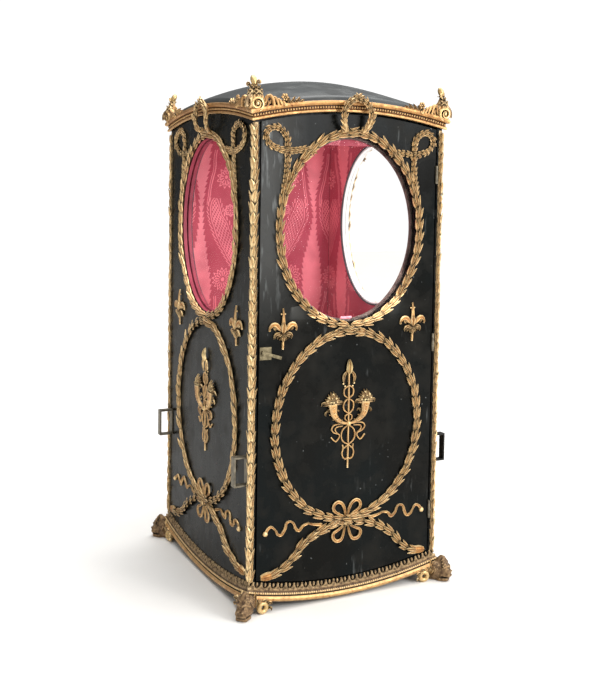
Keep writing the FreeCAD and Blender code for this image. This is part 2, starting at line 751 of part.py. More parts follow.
plate_left = f"-{door_free} + 2"
lever = doc.addObject("Part::Box", "latch_bar")
for side, expression in (("Length", "latch_lever"), ("Width", "leaf_thickness * 4"),
                         ("Height", "latch_plate / 4")):
    lever.setExpression(side, bound(expression))
lever.Placement = FreeCAD.Placement(Vector(), Rotation(Y, size("latch_slope")))
for axis, expression in zip("xyz", (f"{plate_left} + 4", f"-({half_depth} + leaf_thickness * 7)",
                                    "latch_height")):
    lever.setExpression(f"Placement.Base.{axis}", bound(expression))
export("door_latch", join("door_latch", [
    box("latch_plate_board", (plate_left, f"{plate_left} + latch_plate"),
        (f"-({half_depth} + 2 * leaf_thickness)", f"-({half_depth})"),
        ("latch_height - latch_plate / 2", "latch_height + latch_plate / 2")),
    cylinder("latch_spindle", "latch_plate / 6", "leaf_thickness * 7",
             (f"{plate_left} + latch_plate / 3", f"-({half_depth} + leaf_thickness * 7)",
              "latch_height"), Y),
    lever,
]))

# ---- write every piece ----

doc.recompute()
for item in doc.Objects:
    if "Invalid" in item.State or "Error" in item.State:
        raise RuntimeError(f"{item.Name} failed: {item.State}")
for name, piece in PIECES:
    shape = piece.Shape
    if shape.isNull() or not shape.isValid() or not shape.Solids:
        raise RuntimeError(f"{name} has no valid solid")
for name, piece in PIECES:
    piece.Shape.exportStep(os.path.join("parts", f"{name}.step"))
    print(f"{name}: {len(piece.Shape.Solids)} solid, {piece.Shape.Volume / 1e6:.3f} litres")
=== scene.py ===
"""Sedan chair: the leather, carved gilt wood, silk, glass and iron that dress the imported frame."""

import logging
from collections.abc import Callable, Iterable, Sequence
from dataclasses import dataclass, field
from enum import Enum
from math import atan2, cos, exp, pi, radians, sin, sqrt

import bmesh
import bpy
from mathutils import Matrix, Vector, noise


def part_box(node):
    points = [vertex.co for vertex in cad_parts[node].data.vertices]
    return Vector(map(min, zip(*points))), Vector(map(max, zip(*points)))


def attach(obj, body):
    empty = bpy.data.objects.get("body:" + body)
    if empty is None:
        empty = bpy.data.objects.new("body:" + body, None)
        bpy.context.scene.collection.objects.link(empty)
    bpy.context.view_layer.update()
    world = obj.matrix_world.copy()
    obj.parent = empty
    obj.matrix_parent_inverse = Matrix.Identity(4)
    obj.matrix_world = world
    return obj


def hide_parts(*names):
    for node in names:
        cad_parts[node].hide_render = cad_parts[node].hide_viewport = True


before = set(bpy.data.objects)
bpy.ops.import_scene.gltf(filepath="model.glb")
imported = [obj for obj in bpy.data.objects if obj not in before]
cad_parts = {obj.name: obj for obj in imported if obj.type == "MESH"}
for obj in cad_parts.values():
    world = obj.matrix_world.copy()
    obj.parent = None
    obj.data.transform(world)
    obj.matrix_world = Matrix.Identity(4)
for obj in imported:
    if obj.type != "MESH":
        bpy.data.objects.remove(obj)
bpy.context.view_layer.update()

LOG = logging.getLogger("sedan_chair")
MM = 0.001
TURN = 2 * pi
ACROSS, AHEAD, UP = Vector((1, 0, 0)), Vector((0, 1, 0)), Vector((0, 0, 1))

# sizes of the chair that several pieces share, in millimetres
HALF_X, HALF_Y = 347.0, 381.5    # half the width and half the depth over the walls
EAVES, SKIRT, RISE = 1554, 48, 40    # edges of the eaves and base arches at the corners, and how far they bend
SIGHT = 1216.25    # height of the windows' middle
OPENING = (247.5, 300)    # half width and half height of a window in the silk

Pair = tuple[float, float]
Triple = tuple[float, float, float]
Outline = tuple[Pair, ...]
Marks = Iterable[Sequence[float]]
Section = Callable[[float], Sequence[Pair]]
Place = Callable[[Vector], Vector]    # from millimetres on a drawing to metres in the frame
Edge = Callable[[float, float], float]    # height of an arched edge at a place across, for an upward offset
Tree, Node, Socket = bpy.types.NodeTree, bpy.types.Node, bpy.types.NodeSocket
Thing, Mesh = bpy.types.Object, bpy.types.Mesh


# ---- nodes and finishes ----


def tone(code: str) -> tuple[float, float, float, float]:
    """Turn an sRGB hex value to linear light.

    Args:
        code: colour such as "#c9964f".

    Returns:
        Red, green, blue and an alpha of one.
    """
    parts = (int(code[place:place + 2], 16) / 255 for place in (1, 3, 5))
    red, green, blue = (part / 12.92 if part <= 0.04045 else ((part + 0.055) / 1.055) ** 2.4 for part in parts)
    return red, green, blue, 1.0


def per_metre(millimetres: float) -> float:
    """Scale of a texture that repeats every so many millimetres."""
    return 1 / (millimetres * MM)


def feed(tree: Tree, node: Node, inputs: dict[str | int, object]) -> Node:
    """Fill the inputs of a node.

    Args:
        tree: node tree that holds the node.
        node: the node.
        inputs: socket name or number to a value, a hex colour, or the socket that feeds it.

    Returns:
        The node.
    """
    for name, value in inputs.items():
        if isinstance(value, Socket):
            tree.links.new(value, node.inputs[name])
        else:
            node.inputs[name].default_value = tone(value) if isinstance(value, str) else value
    return node


def add(tree: Tree, kind: str, inputs: dict[str | int, object] | None = None, **settings: object) -> Node:
    """Add a node with its settings and links.

    Args:
        tree: node tree that gets the node.
        kind: Blender's name of the node.
        inputs: what feed() takes.
        settings: properties of the node.

    Returns:
        The new node.
    """
    node = tree.nodes.new(kind)
    for name, value in settings.items():
        setattr(node, name, value)
    return feed(tree, node, inputs or {})


def painted(tree: Tree, ground: object, *coats: tuple[Socket, object]) -> object:
    """Lay coats of colour over a ground; each colour is a hex value or a socket.

    Args:
        tree: nodes of the material.
        ground: the lowest colour.
        coats: how much of each coat shows, from 0 to 1, and its colour.

    Returns:
        The colour on top.
    """
    for share, colour in coats:
        ground = add(tree, "ShaderNodeMix", {0: share, 6: ground, 7: colour}, data_type="RGBA").outputs[2]
    return ground


def cloudy(tree: Tree, place: Socket, size: float, low: float, high: float, detail: float = 3.0) -> Socket:
    """Mask of blotches so many millimetres wide, 0 where the noise is below low and 1 where it is above high."""
    blotch = add(tree, "ShaderNodeTexNoise", {"Vector": place, "Scale": per_metre(size), "Detail": detail})
    return add(tree, "ShaderNodeMapRange", {"Value": blotch.outputs[0], "From Min": low, "From Max": high}).outputs[0]


@dataclass(frozen=True)
class Finish:
    """A finish, made into a material when it is first worn."""

    title: str = "bare"
    slot: str = field(default="gilt_wood", kw_only=True)    # the record's slot of what wears it

    def dress(self, tree: Tree, shader: Node, place: Socket) -> None:
        """Set the shader's sockets."""
        raise NotImplementedError

    def material(self) -> bpy.types.Material:
        """Make the finish a material on first use.

        Returns:
            The material.
        """
        made = bpy.data.materials.get(self.title)
        if made is None:
            made = bpy.data.materials.new(self.title)
            made.use_nodes = True
            tree = made.node_tree
            place = add(tree, "ShaderNodeTexCoord").outputs["Object"]
            self.dress(tree, tree.nodes["Principled BSDF"], place)
        return made

    def ridges(self, tree: Tree, shader: Node, layers: Iterable[tuple[Socket, float, float]]) -> None:
        """Bump the surface.

        Args:
            tree: node tree.
            shader: node that gets the normal.
            layers: height socket, strength and real height in millimetres, coarse first.
        """
        normal = None
        for height, strength, depth in layers:
            below = {} if normal is None else {"Normal": normal}
            normal = add(tree, "ShaderNodeBump", {
                "Height": height, "Strength": strength, "Distance": depth * MM, **below}).outputs[0]
        tree.links.new(normal, shader.inputs["Normal"])


class Sum:
    """A number inside a shader, used with Python's own signs."""

    def __init__(self, tree: Tree, socket: Socket) -> None:
        """Hold a socket of the tree."""
        self.tree, self.socket = tree, socket

    def by(self, operation: str, *others: object, clamp: bool = False) -> "Sum":
        """Put the number through a maths node.

        Args:
            operation: Blender's name of the sum.
            others: the other numbers.
            clamp: whether the result is kept between 0 and 1.

        Returns:
            The result.
        """
        given = (other.socket if isinstance(other, Sum) else other for other in others)
        node = add(self.tree, "ShaderNodeMath", {0: self.socket, **dict(enumerate(given, 1))},
                   operation=operation, use_clamp=clamp)
        return Sum(self.tree, node.outputs[0])

    def __add__(self, other: object) -> "Sum":
        """The two together."""
        return self.by("ADD", other)

    def __sub__(self, other: object) -> "Sum":
        """What is left."""
        return self.by("SUBTRACT", other)

    def __mul__(self, other: object) -> "Sum":
        """The product."""
        return self.by("MULTIPLY", other)

    def below(self, limit: object, soft: float = 2.0) -> "Sum":
        """1 below a limit and 0 above it, with an edge as wide as soft."""
        return (self - limit).by("MULTIPLY_ADD", -1 / soft, 0.5, clamp=True)

    def line(self, middle: object, half: float) -> "Sum":
        """1 on a line at the middle and 0 past half its width."""
        return (self - middle).by("ABSOLUTE").below(half, 1.8)


@dataclass(frozen=True)
class LacqueredLeather(Finish):
    """Cowhide glued on boards and japanned black.

    The lacquer gives a soft shine that long waves in the boards bend into upright streaks, and
    rubbing has left it paler and duller in patches.
    """

    title: str = "lacquered leather"
    deep: str = "#0d0d0b"
    worn: str = "#1c1b18"
    tint: str = "#0c1010"
    # colour of pale scuffs and of upright pale streaks that are partly painted highlights
    scuff: str = "#8b8f8e"
    wave: float = 110
    grain: float = 2.6
    shine: float = 0.25
    gloss: float = 0.07
    # strength and colour of the painted sheen that the door's leather gets high on its left: a paler haze for a lamp's
    # reflection
    handled: float = 0.0
    haze: str = "#6a6a68"

    def dress(self, tree: Tree, shader: Node, place: Socket) -> None:
        """Mottled black under a clear coat, with pale streaks that are partly painted highlights, and on the door a
        painted sheen.

        Args:
            tree: nodes of the material.
            shader: the node that it ends in.
            place: place on the piece, in metres.
        """
        rubbed = cloudy(tree, place, 70, 0.45, 0.75, 6)
        tinted = cloudy(tree, place, 240, 0.40, 0.62, 2)
        coats = [(tinted, self.tint), (rubbed, self.worn)]
        scratch = add(tree, "ShaderNodeMapping", {"Vector": place, "Scale": (1, 1, 0.16)}).outputs[0]
        streak = cloudy(tree, scratch, 5, 0.62, 0.80, 2)
        where = Sum(tree, cloudy(tree, place, 130, 0.56, 0.76, 3))
        # painted sheen: a paler haze over the upper left of the piece, which also gathers more of the pale streaks
        # there
        if self.handled:
            apart = add(tree, "ShaderNodeSeparateXYZ", {0: place})
            near, high = (Sum(tree, add(tree, "ShaderNodeMapRange", {
                "Value": apart.outputs[axis], "From Min": far, "From Max": close}).outputs[0])
                for axis, far, close in ((0, -0.16, -0.29), (2, 0.86, 1.12)))
            painted_sheen_zone = near * high
            where = where.by("MAXIMUM", painted_sheen_zone)
            coats.append(((painted_sheen_zone * self.handled).socket, self.haze))
        # pale upright marks: partly scuffs, partly painted streak highlights
        marks = where * Sum(tree, cloudy(tree, scratch, 14, 0.58, 0.76, 4)) * 0.55
        specks = Sum(tree, cloudy(tree, place, 12, 0.765, 0.80, 1)) * 0.35
        coats.append((marks.by("MAXIMUM", specks).socket, self.scuff))
        dull = add(tree, "ShaderNodeMapRange", {
            "Value": rubbed, "To Min": self.shine, "To Max": self.shine + 0.16}).outputs[0]
        feed(tree, shader, {"Base Color": painted(tree, self.deep, *coats), "Roughness": dull,
                            "Specular IOR Level": self.gloss})
        upright = add(tree, "ShaderNodeMapping", {"Vector": place, "Scale": (1, 1, 0.22)}).outputs[0]
        wave = add(tree, "ShaderNodeTexNoise", {
            "Vector": upright, "Scale": per_metre(self.wave), "Detail": 2.0}).outputs[0]
        grain = add(tree, "ShaderNodeTexVoronoi", {
            "Vector": place, "Scale": per_metre(self.grain)}).outputs["Distance"]
        self.ridges(tree, shader, ((wave, 0.26, 9), (streak, 0.25, 0.3), (grain, 0.22, 0.25)))


@dataclass(frozen=True)
class WaterGilding(Finish):
    """Gold leaf on red bole and gesso over carved limewood.

    It is warm and half matt, paler on the ridges as a painted highlight, dark brown in the cuts as grime and painted
    shade, and the bole shows in the hollows, partly as painted shade, and where hands have rubbed the leaf away.
    """

    title: str = "water gilding"
    crest: str = "#fbdca4"
    bright: str = "#c4904c"
    plain: str = "#8f5622"
    bole: str = "#8a4818"
    dirt: str = "#140a04"
    rub: Pair = (0.56, 0.78)
    reach: float = 13
    metal: float = 0.6
    rough: Pair = (0.36, 0.56)
    bends: tuple[Pair, Pair] = ((0.515, 0.61), (0.43, 0.51))

    def dress(self, tree: Tree, shader: Node, place: Socket) -> None:
        """Two golds, rubbed spots, a painted highlight on the ridges, and grime with painted shade where little light
        gets in.

        Args:
            tree: nodes of the material.
            shader: the node that it ends in.
            place: place on the piece, in metres.
        """
        patch = cloudy(tree, place, 22, 0.32, 0.68, 4)
        rubbed = cloudy(tree, place, 9, *self.rub, 5)
        bend = add(tree, "ShaderNodeNewGeometry").outputs["Pointiness"]
        # paler on sharp ridges, a painted highlight; the bole shows in the hollows, partly as painted shade
        ridge_highlight, hollow = (add(tree, "ShaderNodeMapRange", {
            "Value": bend, "From Min": low, "From Max": high}).outputs[0] for low, high in self.bends)
        leaf = painted(tree, self.plain, (patch, self.bright), (ridge_highlight, self.crest))
        shown = painted(tree, self.bole, (hollow, leaf), (rubbed, self.bole))
        # where the occlusion is deep the colour darkens: partly grime in the cuts, partly painted shade
        open_sky = add(tree, "ShaderNodeAmbientOcclusion", {"Distance": self.reach * MM},
                       samples=6, only_local=True).outputs["AO"]
        clean_and_lit = add(tree, "ShaderNodeMapRange", {"Value": open_sky, "From Min": 0.52, "From Max": 0.98}).outputs[0]
        metal = add(tree, "ShaderNodeMapRange", {
            "Value": clean_and_lit, "To Min": self.metal * 0.45, "To Max": self.metal}).outputs[0]
        dull = add(tree, "ShaderNodeMapRange", {
            "Value": patch, "To Min": self.rough[1], "To Max": self.rough[0]}).outputs[0]
        feed(tree, shader, {"Base Color": painted(tree, self.dirt, (clean_and_lit, shown)), "Metallic": metal,
                            "Roughness": dull})
        tool = add(tree, "ShaderNodeTexNoise", {"Vector": place, "Scale": per_metre(3.5), "Detail": 3.0}).outputs[0]
        self.ridges(tree, shader, ((tool, 0.35, 0.8),))


GILDING = WaterGilding()
# the cornice's gilding, a darker copy of the rest that paints shade over the light it catches: a warm toffee gold under
# the roof
SHADED_GILDING = WaterGilding("brown gilding", "#dcb47c", "#ad7a3f", "#7d4c20", "#6a3914", "#130a04")
# the same gilding nearer the ground: rubbed to brown and dusty, so it hardly shines
DULL_GILDING = WaterGilding("worn gilding", "#c6ab80", "#a0815a", "#6e5437", "#4a3422", "#1a120b",
                            (0.44, 0.70), 9, 0.4, (0.45, 0.66), slot="dull_gilt")
# the same gilding burnished, on what stands out furthest; its paler colour is partly a painted highlight
BURNISHED_HIGHLIGHT = WaterGilding("burnished gilding", "#f3d9a2", "#d8b575", "#a67a3e", "#7e4a20", "#1c0f06",
                         (0.62, 0.82), 8, 0.6, (0.24, 0.42))


@dataclass(frozen=True)
class SilkDamask(Finish):
    """Crimson silk damask: satin figure on a duller ground of the same silk.

    A plain satin column, mirrored left and right, stands between toothed leaves; curved leaves
    filled with scales, rosettes and palmettes lie beside it. It shows by its shine as much as by
    its colour, and has faded to pink where light falls.
    """

    title: str = "crimson silk damask"
    ground: str = "#aa3d50"
    figure: str = "#ea7f8b"
    shadow: str = "#86202f"
    repeat: Pair = (480, 560)
    slot: str = field(default="crimson_damask", kw_only=True)

    def flower(self, aside: Sum, climb: Sum, centre: Pair, petals: int, rim: float, bite: float) -> Sum:
        """A rosette or palmette.

        Args:
            aside: distance from the column, in millimetres.
            climb: height in the repeat.
            centre: where its heart is.
            petals: number of petals.
            rim: its radius.
            bite: how far the petals are cut.

        Returns:
            Its share of satin.
        """
        right, over = aside - centre[0], climb - centre[1]
        far = (right * right + over * over).by("SQRT")
        wave = (over.by("ARCTAN2", right) * petals).by("COSINE")
        edge = wave * bite + rim
        petal = far.line(edge * 0.82, 3.2)
        rays = far.below(edge * 0.62) * wave.by("GREATER_THAN", 0.1)
        heart = far.below(rim * 0.18)
        hollow = far.below(rim * 0.3)
        return petal.by("MAXIMUM", (rays - hollow)).by("MAXIMUM", heart)

    def woven(self, across: Sum, up: Sum) -> Sum:
        """The figure.

        Args:
            across: place on the cloth, in millimetres.
            up: the same, upward.

        Returns:
            Share of satin, from 0 to 1.
        """
        wide, high = self.repeat
        aside = (across.by("PINGPONG", wide / 2) - wide / 2) * -1
        climb = (up - 930).by("WRAP", high, 0.0)
        column = ((climb - 320) * (TURN / high)).by("COSINE") * -17.5 + 32.5
        teeth = (climb * (1 / 23)).by("FRACT") * 9
        plain = aside.below(column + teeth - 12, 3)
        nested = aside.line(column + 9, 1.6).by("MAXIMUM", aside.line(column + 17, 2.2))
        upper = climb.by("GREATER_THAN", 345)
        leaf_run = ((climb - 120) * (1 / 200)).by("SMOOTH_MIN", 1.0, 0.2).by("SMOOTH_MAX", 0.0, 0.2)
        middle = leaf_run * -85 + 145
        half = (((climb - 110) * (pi / 265)).by("SINE").by("MAXIMUM", 0.0)).by("SQRT") * 31
        inside_run = climb.line(242, 132)
        off = (aside - middle).by("ABSOLUTE")
        scale = ((aside - middle) * (TURN / 13)).by("SINE") * (climb * (TURN / 17)).by("SINE")
        scales = off.below(half - 5) * scale.below(0.12, 0.3)
        fringe = half + (climb * (1 / 17)).by("FRACT") * 8
        rims = off.line(half, 2.2).by("MAXIMUM", off.line(fringe + 8, 2.4))
        leaf = scales.by("MAXIMUM", rims) * inside_run
        flowers = [self.flower(aside, climb, *sizes) for sizes in (
            ((125, 330), 8, 24, 3), ((94, 62), 15, 46, 7), ((105, 452), 11, 40, 8), ((212, 150), 8, 26, 4),
            ((215, 400), 13, 34, 6), ((186, 12), 9, 22, 3))]
        figure = plain.by("MAXIMUM", nested * upper).by("MAXIMUM", leaf)
        for flower in flowers:
            figure = figure.by("MAXIMUM", flower)
        return figure

    def dress(self, tree: Tree, shader: Node, place: Socket) -> None:
        """Weave the figure on the cloth's own coordinates.

        Args:
            tree: nodes of the material.
            shader: the node that it ends in.
            place: place on the piece, in metres.
        """
        cloth = add(tree, "ShaderNodeUVMap", uv_map="cloth").outputs[0]
        bent = cloth
        for size, swing in ((190, 0.030), (45, 0.008)):
            sway = add(tree, "ShaderNodeTexNoise", {"Vector": cloth, "Scale": per_metre(size), "Detail": 2.0})
            centred = add(tree, "ShaderNodeVectorMath", {
                0: sway.outputs["Color"], 1: (0.5, 0.5, 0.5)}, operation="SUBTRACT").outputs[0]
            bent = add(tree, "ShaderNodeVectorMath", {
                0: centred, 1: (swing, swing, 0), 2: bent}, operation="MULTIPLY_ADD").outputs[0]
        apart = add(tree, "ShaderNodeSeparateXYZ", {0: bent})
        figure = self.woven(*(Sum(tree, apart.outputs[side]) * (1 / MM) for side in (0, 1))).socket
        faded = cloudy(tree, place, 150, 0.30, 0.72, 3)
        worn = Sum(tree, figure) * (Sum(tree, faded) * 0.35 + 0.6) + Sum(tree, faded) * 0.22
        satin = worn.by("MULTIPLY", 1.0, clamp=True).socket
        dusk = Sum(tree, cloudy(tree, place, 90, 0.42, 0.75, 2)) * 0.3
        dull = add(tree, "ShaderNodeMapRange", {"Value": figure, "To Min": 0.62, "To Max": 0.40}).outputs[0]
        feed(tree, shader, {
            "Base Color": painted(tree, self.ground, (satin, self.figure), (dusk.socket, self.shadow)),
            "Roughness": dull, "Specular IOR Level": 0.25, "Sheen Weight": 0.15, "Sheen Roughness": 0.4,
            "Sheen Tint": "#ffb0b8"})
        # threads 1.6 mm apart, coarser than silk's, so that the weave shows
        weave = add(tree, "ShaderNodeTexWave", {
            "Vector": cloth, "Scale": per_metre(1.6) / TURN}, bands_direction="Y").outputs["Fac"]
        self.ridges(tree, shader, ((figure, 0.3, 0.4), (weave, 0.12, 0.1)))


@dataclass(frozen=True)
class DropGlass(Finish):
    """Thin blown sheet glass, almost clear, with a faint grey-green tint.

    Lamps shine through it, so the silk behind it is lit.
    """

    title: str = "thin sheet glass"
    tint: str = "#4c5250"
    body: float = 0.02

    def dress(self, tree: Tree, shader: Node, place: Socket) -> None:
        """Clear pane that mirrors a little.

        Args:
            tree: nodes of the material.
            shader: the node that it ends in.
            place: place on the piece, in metres.
        """
        feed(tree, shader, {"Base Color": self.tint, "Roughness": 0.04, "Alpha": self.body,
                            "Specular IOR Level": 0.25})
        ripple = add(tree, "ShaderNodeTexNoise", {"Vector": place, "Scale": per_metre(90)}).outputs[0]
        self.ridges(tree, shader, ((ripple, 0.1, 0.5),))


@dataclass(frozen=True)
class Plain(Finish):
    """A finish of one substance whose colour, shine and surface vary a little."""

    title: str = "plain"
    dark: str = "#202020"
    light: str = "#404040"
    blotch: float = 30
    grain: float = 3
    depth: float = 0.3
    metal: float = 0.0
    rough: Pair = (0.4, 0.6)
    stretch: Triple = (1, 1, 1)

    def dress(self, tree: Tree, shader: Node, place: Socket) -> None:
        """Two tones in blotches, under a fine bump.

        Args:
            tree: nodes of the material.
            shader: the node that it ends in.
            place: place on the piece, in metres.
        """
        drawn = add(tree, "ShaderNodeMapping", {"Vector": place, "Scale": self.stretch}).outputs[0]
        patch = cloudy(tree, drawn, self.blotch, 0.30, 0.70, 5)
        dull = add(tree, "ShaderNodeMapRange", {
            "Value": patch, "To Min": self.rough[0], "To Max": self.rough[1]}).outputs[0]
        feed(tree, shader, {"Base Color": painted(tree, self.dark, (patch, self.light)), "Metallic": self.metal,
                            "Roughness": dull})
        height = add(tree, "ShaderNodeTexNoise", {
            "Vector": drawn, "Scale": per_metre(self.grain), "Detail": 4.0}).outputs[0]
        self.ridges(tree, shader, ((height, 0.5, self.depth),))


LEATHER = LacqueredLeather()
# the door's leather, with a painted sheen: a paler haze high on its left part, and more of the pale streaks there,
# standing for a lamp's reflection
DOOR_LEATHER = LacqueredLeather("handled leather", handled=0.32)
# thinner hide, oiled and not lacquered, so its shine is greyer and broader
ROOF_LEATHER = LacqueredLeather("oiled roof leather", "#1c1f1e", "#3a3e3c", "#23292a", "#8b8f8e", 150, 3.0, 0.30,
                                0.5, slot="roof_leather")
DAMASK = SilkDamask()
GLASS = DropGlass()
# forged iron, waxed and handled: grey-brown, with paler rubbed patches
IRON = Plain("forged iron", "#4c463a", "#8d8472", 18, 2.5, 0.4, 0.55, (0.42, 0.62))
# cast brass, tarnished olive, brighter where a hand turns it
BRASS = Plain("tarnished cast brass", "#564e39", "#8c8064", 12, 2.0, 0.25, 0.75, (0.36, 0.52))
# the brackets on the far side: a darker copy of the iron, painted shade
SHADED_IRON = Plain("blackened iron", "#0d0c0b", "#211e1a", 18, 2.5, 0.4, 0.3, (0.5, 0.65))
# bead that holds the right pane, and the side of its opening: pale white, painted light for the bright studio that this
# side of the opening catches and reflects
PALE_LIT = Plain("white paint", "#e2e0de", "#f0efed", 40, 3, 0.1, 0.0, (0.35, 0.5), slot="window_bead")
# bead in the door: painted brown
BROWN = Plain("brown paint", "#3a2d2a", "#6e5a52", 30, 2, 0.2, 0.0, (0.4, 0.55))
# cord sewn round the openings over the edge of the silk: dark grey, with paler stitches
PIPING = Plain("grey silk piping", "#2a262c", "#5a5258", 5, 1.4, 0.4, 0.0, (0.7, 0.85), slot="crimson_damask")
# ribbon of the drop glass's pull tab: pink, with a soft shine
RIBBON = Plain("pink silk ribbon", "#c65f6e", "#e58d98", 12, 1.2, 0.1, 0.0, (0.5, 0.6), slot="crimson_damask")
# silk turned into the side of the left window, where little light comes: a deeper crimson
SHADED_SILK = Plain("shaded crimson silk", "#7c2838", "#9c3a4b", 60, 1.2, 0.1, 0.0, (0.6, 0.7), slot="window_bead")
# the damask's own silk without a figure, on the front of the seat box
PLAIN_SILK = Plain("plain crimson silk", "#8c2b3c", "#b04a5a", 60, 1.2, 0.1, 0.0, (0.5, 0.6))
# matt white paper under the chair, which scatters the light evenly
FLOOR = Plain("matt white floor", "#efede9", "#f2f1ee", 400, 30, 0.05, 0.0, (0.7, 0.8))
# oiled oak, with its grain along the boards
OAK = Plain("oiled oak boards", "#3b281a", "#6b4b30", 14, 1.6, 0.35, 0.0, (0.50, 0.70), (1, 0.08, 1))


# ---- carver's tools: everything here is in millimetres until it is placed ----


class Body(Enum):
    """The bodies that pieces ride on."""

    CHAIR = "chair"
    DOOR = "door"
    ROOF = "roof"


class Wall(Enum):
    """A face of the body: direction across it, outward direction, distance out, half width, body."""

    FRONT = ((1, 0), (0, -1), HALF_Y, HALF_X, Body.DOOR)
    LEFT = ((0, -1), (-1, 0), HALF_X, HALF_Y, Body.CHAIR)
    RIGHT = ((0, 1), (1, 0), HALF_X, HALF_Y, Body.CHAIR)
    BACK = ((-1, 0), (0, 1), HALF_Y, HALF_X, Body.CHAIR)

    @property
    def word(self) -> str:
        """What the wall is called in the names of pieces."""
        return self.name.lower()

    @property
    def half(self) -> float:
        """Half the width of the face."""
        return self.value[3]

    @property
    def body(self) -> Body:
        """What the ornament on the face rides on."""
        return self.value[4]

    @property
    def radius(self) -> float:
        """Radius of the arches at the eaves and at the base."""
        return (self.half ** 2 + RISE ** 2) / (2 * RISE)

    def place(self, spot: Vector) -> Vector:
        """Move a point from the face to the frame.

        Args:
            spot: millimetres across the face, up from the ground and out from the face.

        Returns:
            The point in metres.
        """
        across, outward, distance = self.value[:3]
        reach = distance + spot.z
        return MM * Vector((across[0] * spot.x + outward[0] * reach, across[1] * spot.x + outward[1] * reach, spot.y))

    def eaves(self, across: float, lift: float) -> float:
        """Height of the eaves arch, moved up by lift."""
        centre = EAVES + RISE - self.radius
        return centre + sqrt((self.radius + lift) ** 2 - across ** 2)

    def skirt(self, across: float, lift: float) -> float:
        """Height of the hanging base arch, moved up by lift."""
        centre = SKIRT - RISE + self.radius
        return centre - sqrt((self.radius - lift) ** 2 - across ** 2)


# sides of the chair that each corner is on, -1 for left and front, and its name
CORNERS = tuple((x_sign, y_sign, f"{end}_{side}") for x_sign, side in ((-1, "left"), (1, "right"))
                for y_sign, end in ((-1, "front"), (1, "rear")))


def smooth_path(knots: Marks, step: float = 4.0) -> list[Vector]:
    """Even points on a soft curve through the knots.

    Args:
        knots: places, of two or three numbers.
        step: distance between the points.

    Returns:
        The points.
    """
    marks = [Vector((*knot, 0.0)[:3]) for knot in knots]
    last, parts = len(marks) - 1, 12
    fine: list[Vector] = []
    for span in range(last):
        a, b, c, d = (marks[min(max(span + k, 0), last)] for k in (-1, 0, 1, 2))
        for t in (part / parts for part in range(parts)):
            fine.append(0.5 * (2 * b + (c - a) * t + (2 * a - 5 * b + 4 * c - d) * t ** 2
                               + (3 * b - a - 3 * c + d) * t ** 3))
    fine.append(marks[-1])
    run = [0.0]
    for before, after in zip(fine, fine[1:]):
        run.append(run[-1] + (after - before).length)
    number = max(2, round(run[-1] / step))
    even: list[Vector] = []
    place = 0
    for k in range(number + 1):
        wanted = run[-1] * k / number
        while place < len(run) - 2 and run[place + 1] < wanted:
            place += 1
        share = (wanted - run[place]) / ((run[place + 1] - run[place]) or 1)
        even.append(fine[place].lerp(fine[place + 1], share))
    return even


def ellipse(wide: float, high: float, centre: Pair, first: float, last: float, steps: int = 96) -> list[Vector]:
    """Points on part of an ellipse, by angles in degrees from straight down that grow to the left."""
    turns = (radians(first + (last - first) * k / steps) for k in range(steps + 1))
    return [Vector((centre[0] - wide * sin(turn), centre[1] - high * cos(turn), 0)) for turn in turns]


def mirrored(path: Iterable[Vector]) -> list[Vector]:
    """The path on the other side of the middle."""
    return [Vector((-spot.x, spot.y, spot.z)) for spot in path]


def stood_off(path: Iterable[Vector], out: float) -> list[Vector]:
    """The path at one distance out from the wall."""
    return [Vector((spot.x, spot.y, out)) for spot in path]


def ring_of(count: int, wide: float, high: float = 0.0, turned: float = 0.0) -> list[Pair]:
    """Points round a circle of radius wide, or round an ellipse of half width wide and half height high."""
    turns = [k * TURN / count + turned for k in range(count)]
    return [(wide * cos(turn), (high or wide) * sin(turn)) for turn in turns]


def dome(half: float, height: float, groove: float = 0.0, sink: float = 1.0) -> Outline:
    """Section of a rounded strip, with a groove along its middle."""
    return ((-half, -sink), (-half, height * 0.4), (-half * 0.6, height * 0.9), (0, height - groove),
            (half * 0.6, height * 0.9), (half, height * 0.4), (half, -sink))


def blade(width: float, height: float, point: float = 0.9, teeth: int = 0, bite: float = 0.3,
          sharp: float = 0.75) -> Section:
    """Section of a leaf along its length.

    Args:
        width: whole width at its widest.
        height: how far it stands up.
        point: share of the length where it starts to close.
        teeth: number of lobes on each edge.
        bite: how deep the cuts between the lobes are.
        sharp: how pointed the ends are.

    Returns:
        A function from 0 to 1 along the leaf to a closed outline.
    """
    def outline(t: float) -> Outline:
        """Two lobes beside a sunk rib.

        Args:
            t: share of the leaf's length.

        Returns:
            The outline there.
        """
        full = sin(pi * min(max(t, 0.015), 0.985) ** point) ** sharp
        cut = 1 - bite * (t * teeth % 1.0) ** 1.5 if teeth else 1.0
        half, rise = width / 2 * full * cut, height * full ** 0.5
        return ((-half, 0), (-half * 0.62, rise), (0, rise * 0.42), (half * 0.62, rise), (half, 0), (0, -0.6))
    return outline


def face_outward(mesh: bmesh.types.BMesh) -> None:
    """Turn every face outward."""
    mesh.normal_update()
    bmesh.ops.recalc_face_normals(mesh, faces=mesh.faces)


def ended(work: bmesh.types.BMesh, name: str) -> Mesh:
    """Write a worked mesh to a named one, and free it.

    Args:
        work: the worked mesh.
        name: name of the new one.

    Returns:
        The new mesh.
    """
    made = bpy.data.meshes.new(name)
    work.to_mesh(made)
    work.free()
    return made


def stand(name: str, data: bpy.types.ID) -> Thing:
    """Put a mesh, lamp or camera in the scene.

    Args:
        name: name of the object.
        data: the mesh, lamp or camera.

    Returns:
        The object.
    """
    thing = bpy.data.objects.new(name, data)
    bpy.context.scene.collection.objects.link(thing)
    return thing


def finished(piece: Thing) -> Mesh:
    """Let the modifiers of a piece work, and take them off.

    Args:
        piece: the piece.

    Returns:
        The mesh that they leave.
    """
    made = bpy.data.meshes.new_from_object(piece.evaluated_get(bpy.context.evaluated_depsgraph_get()))
    piece.modifiers.clear()
    return made


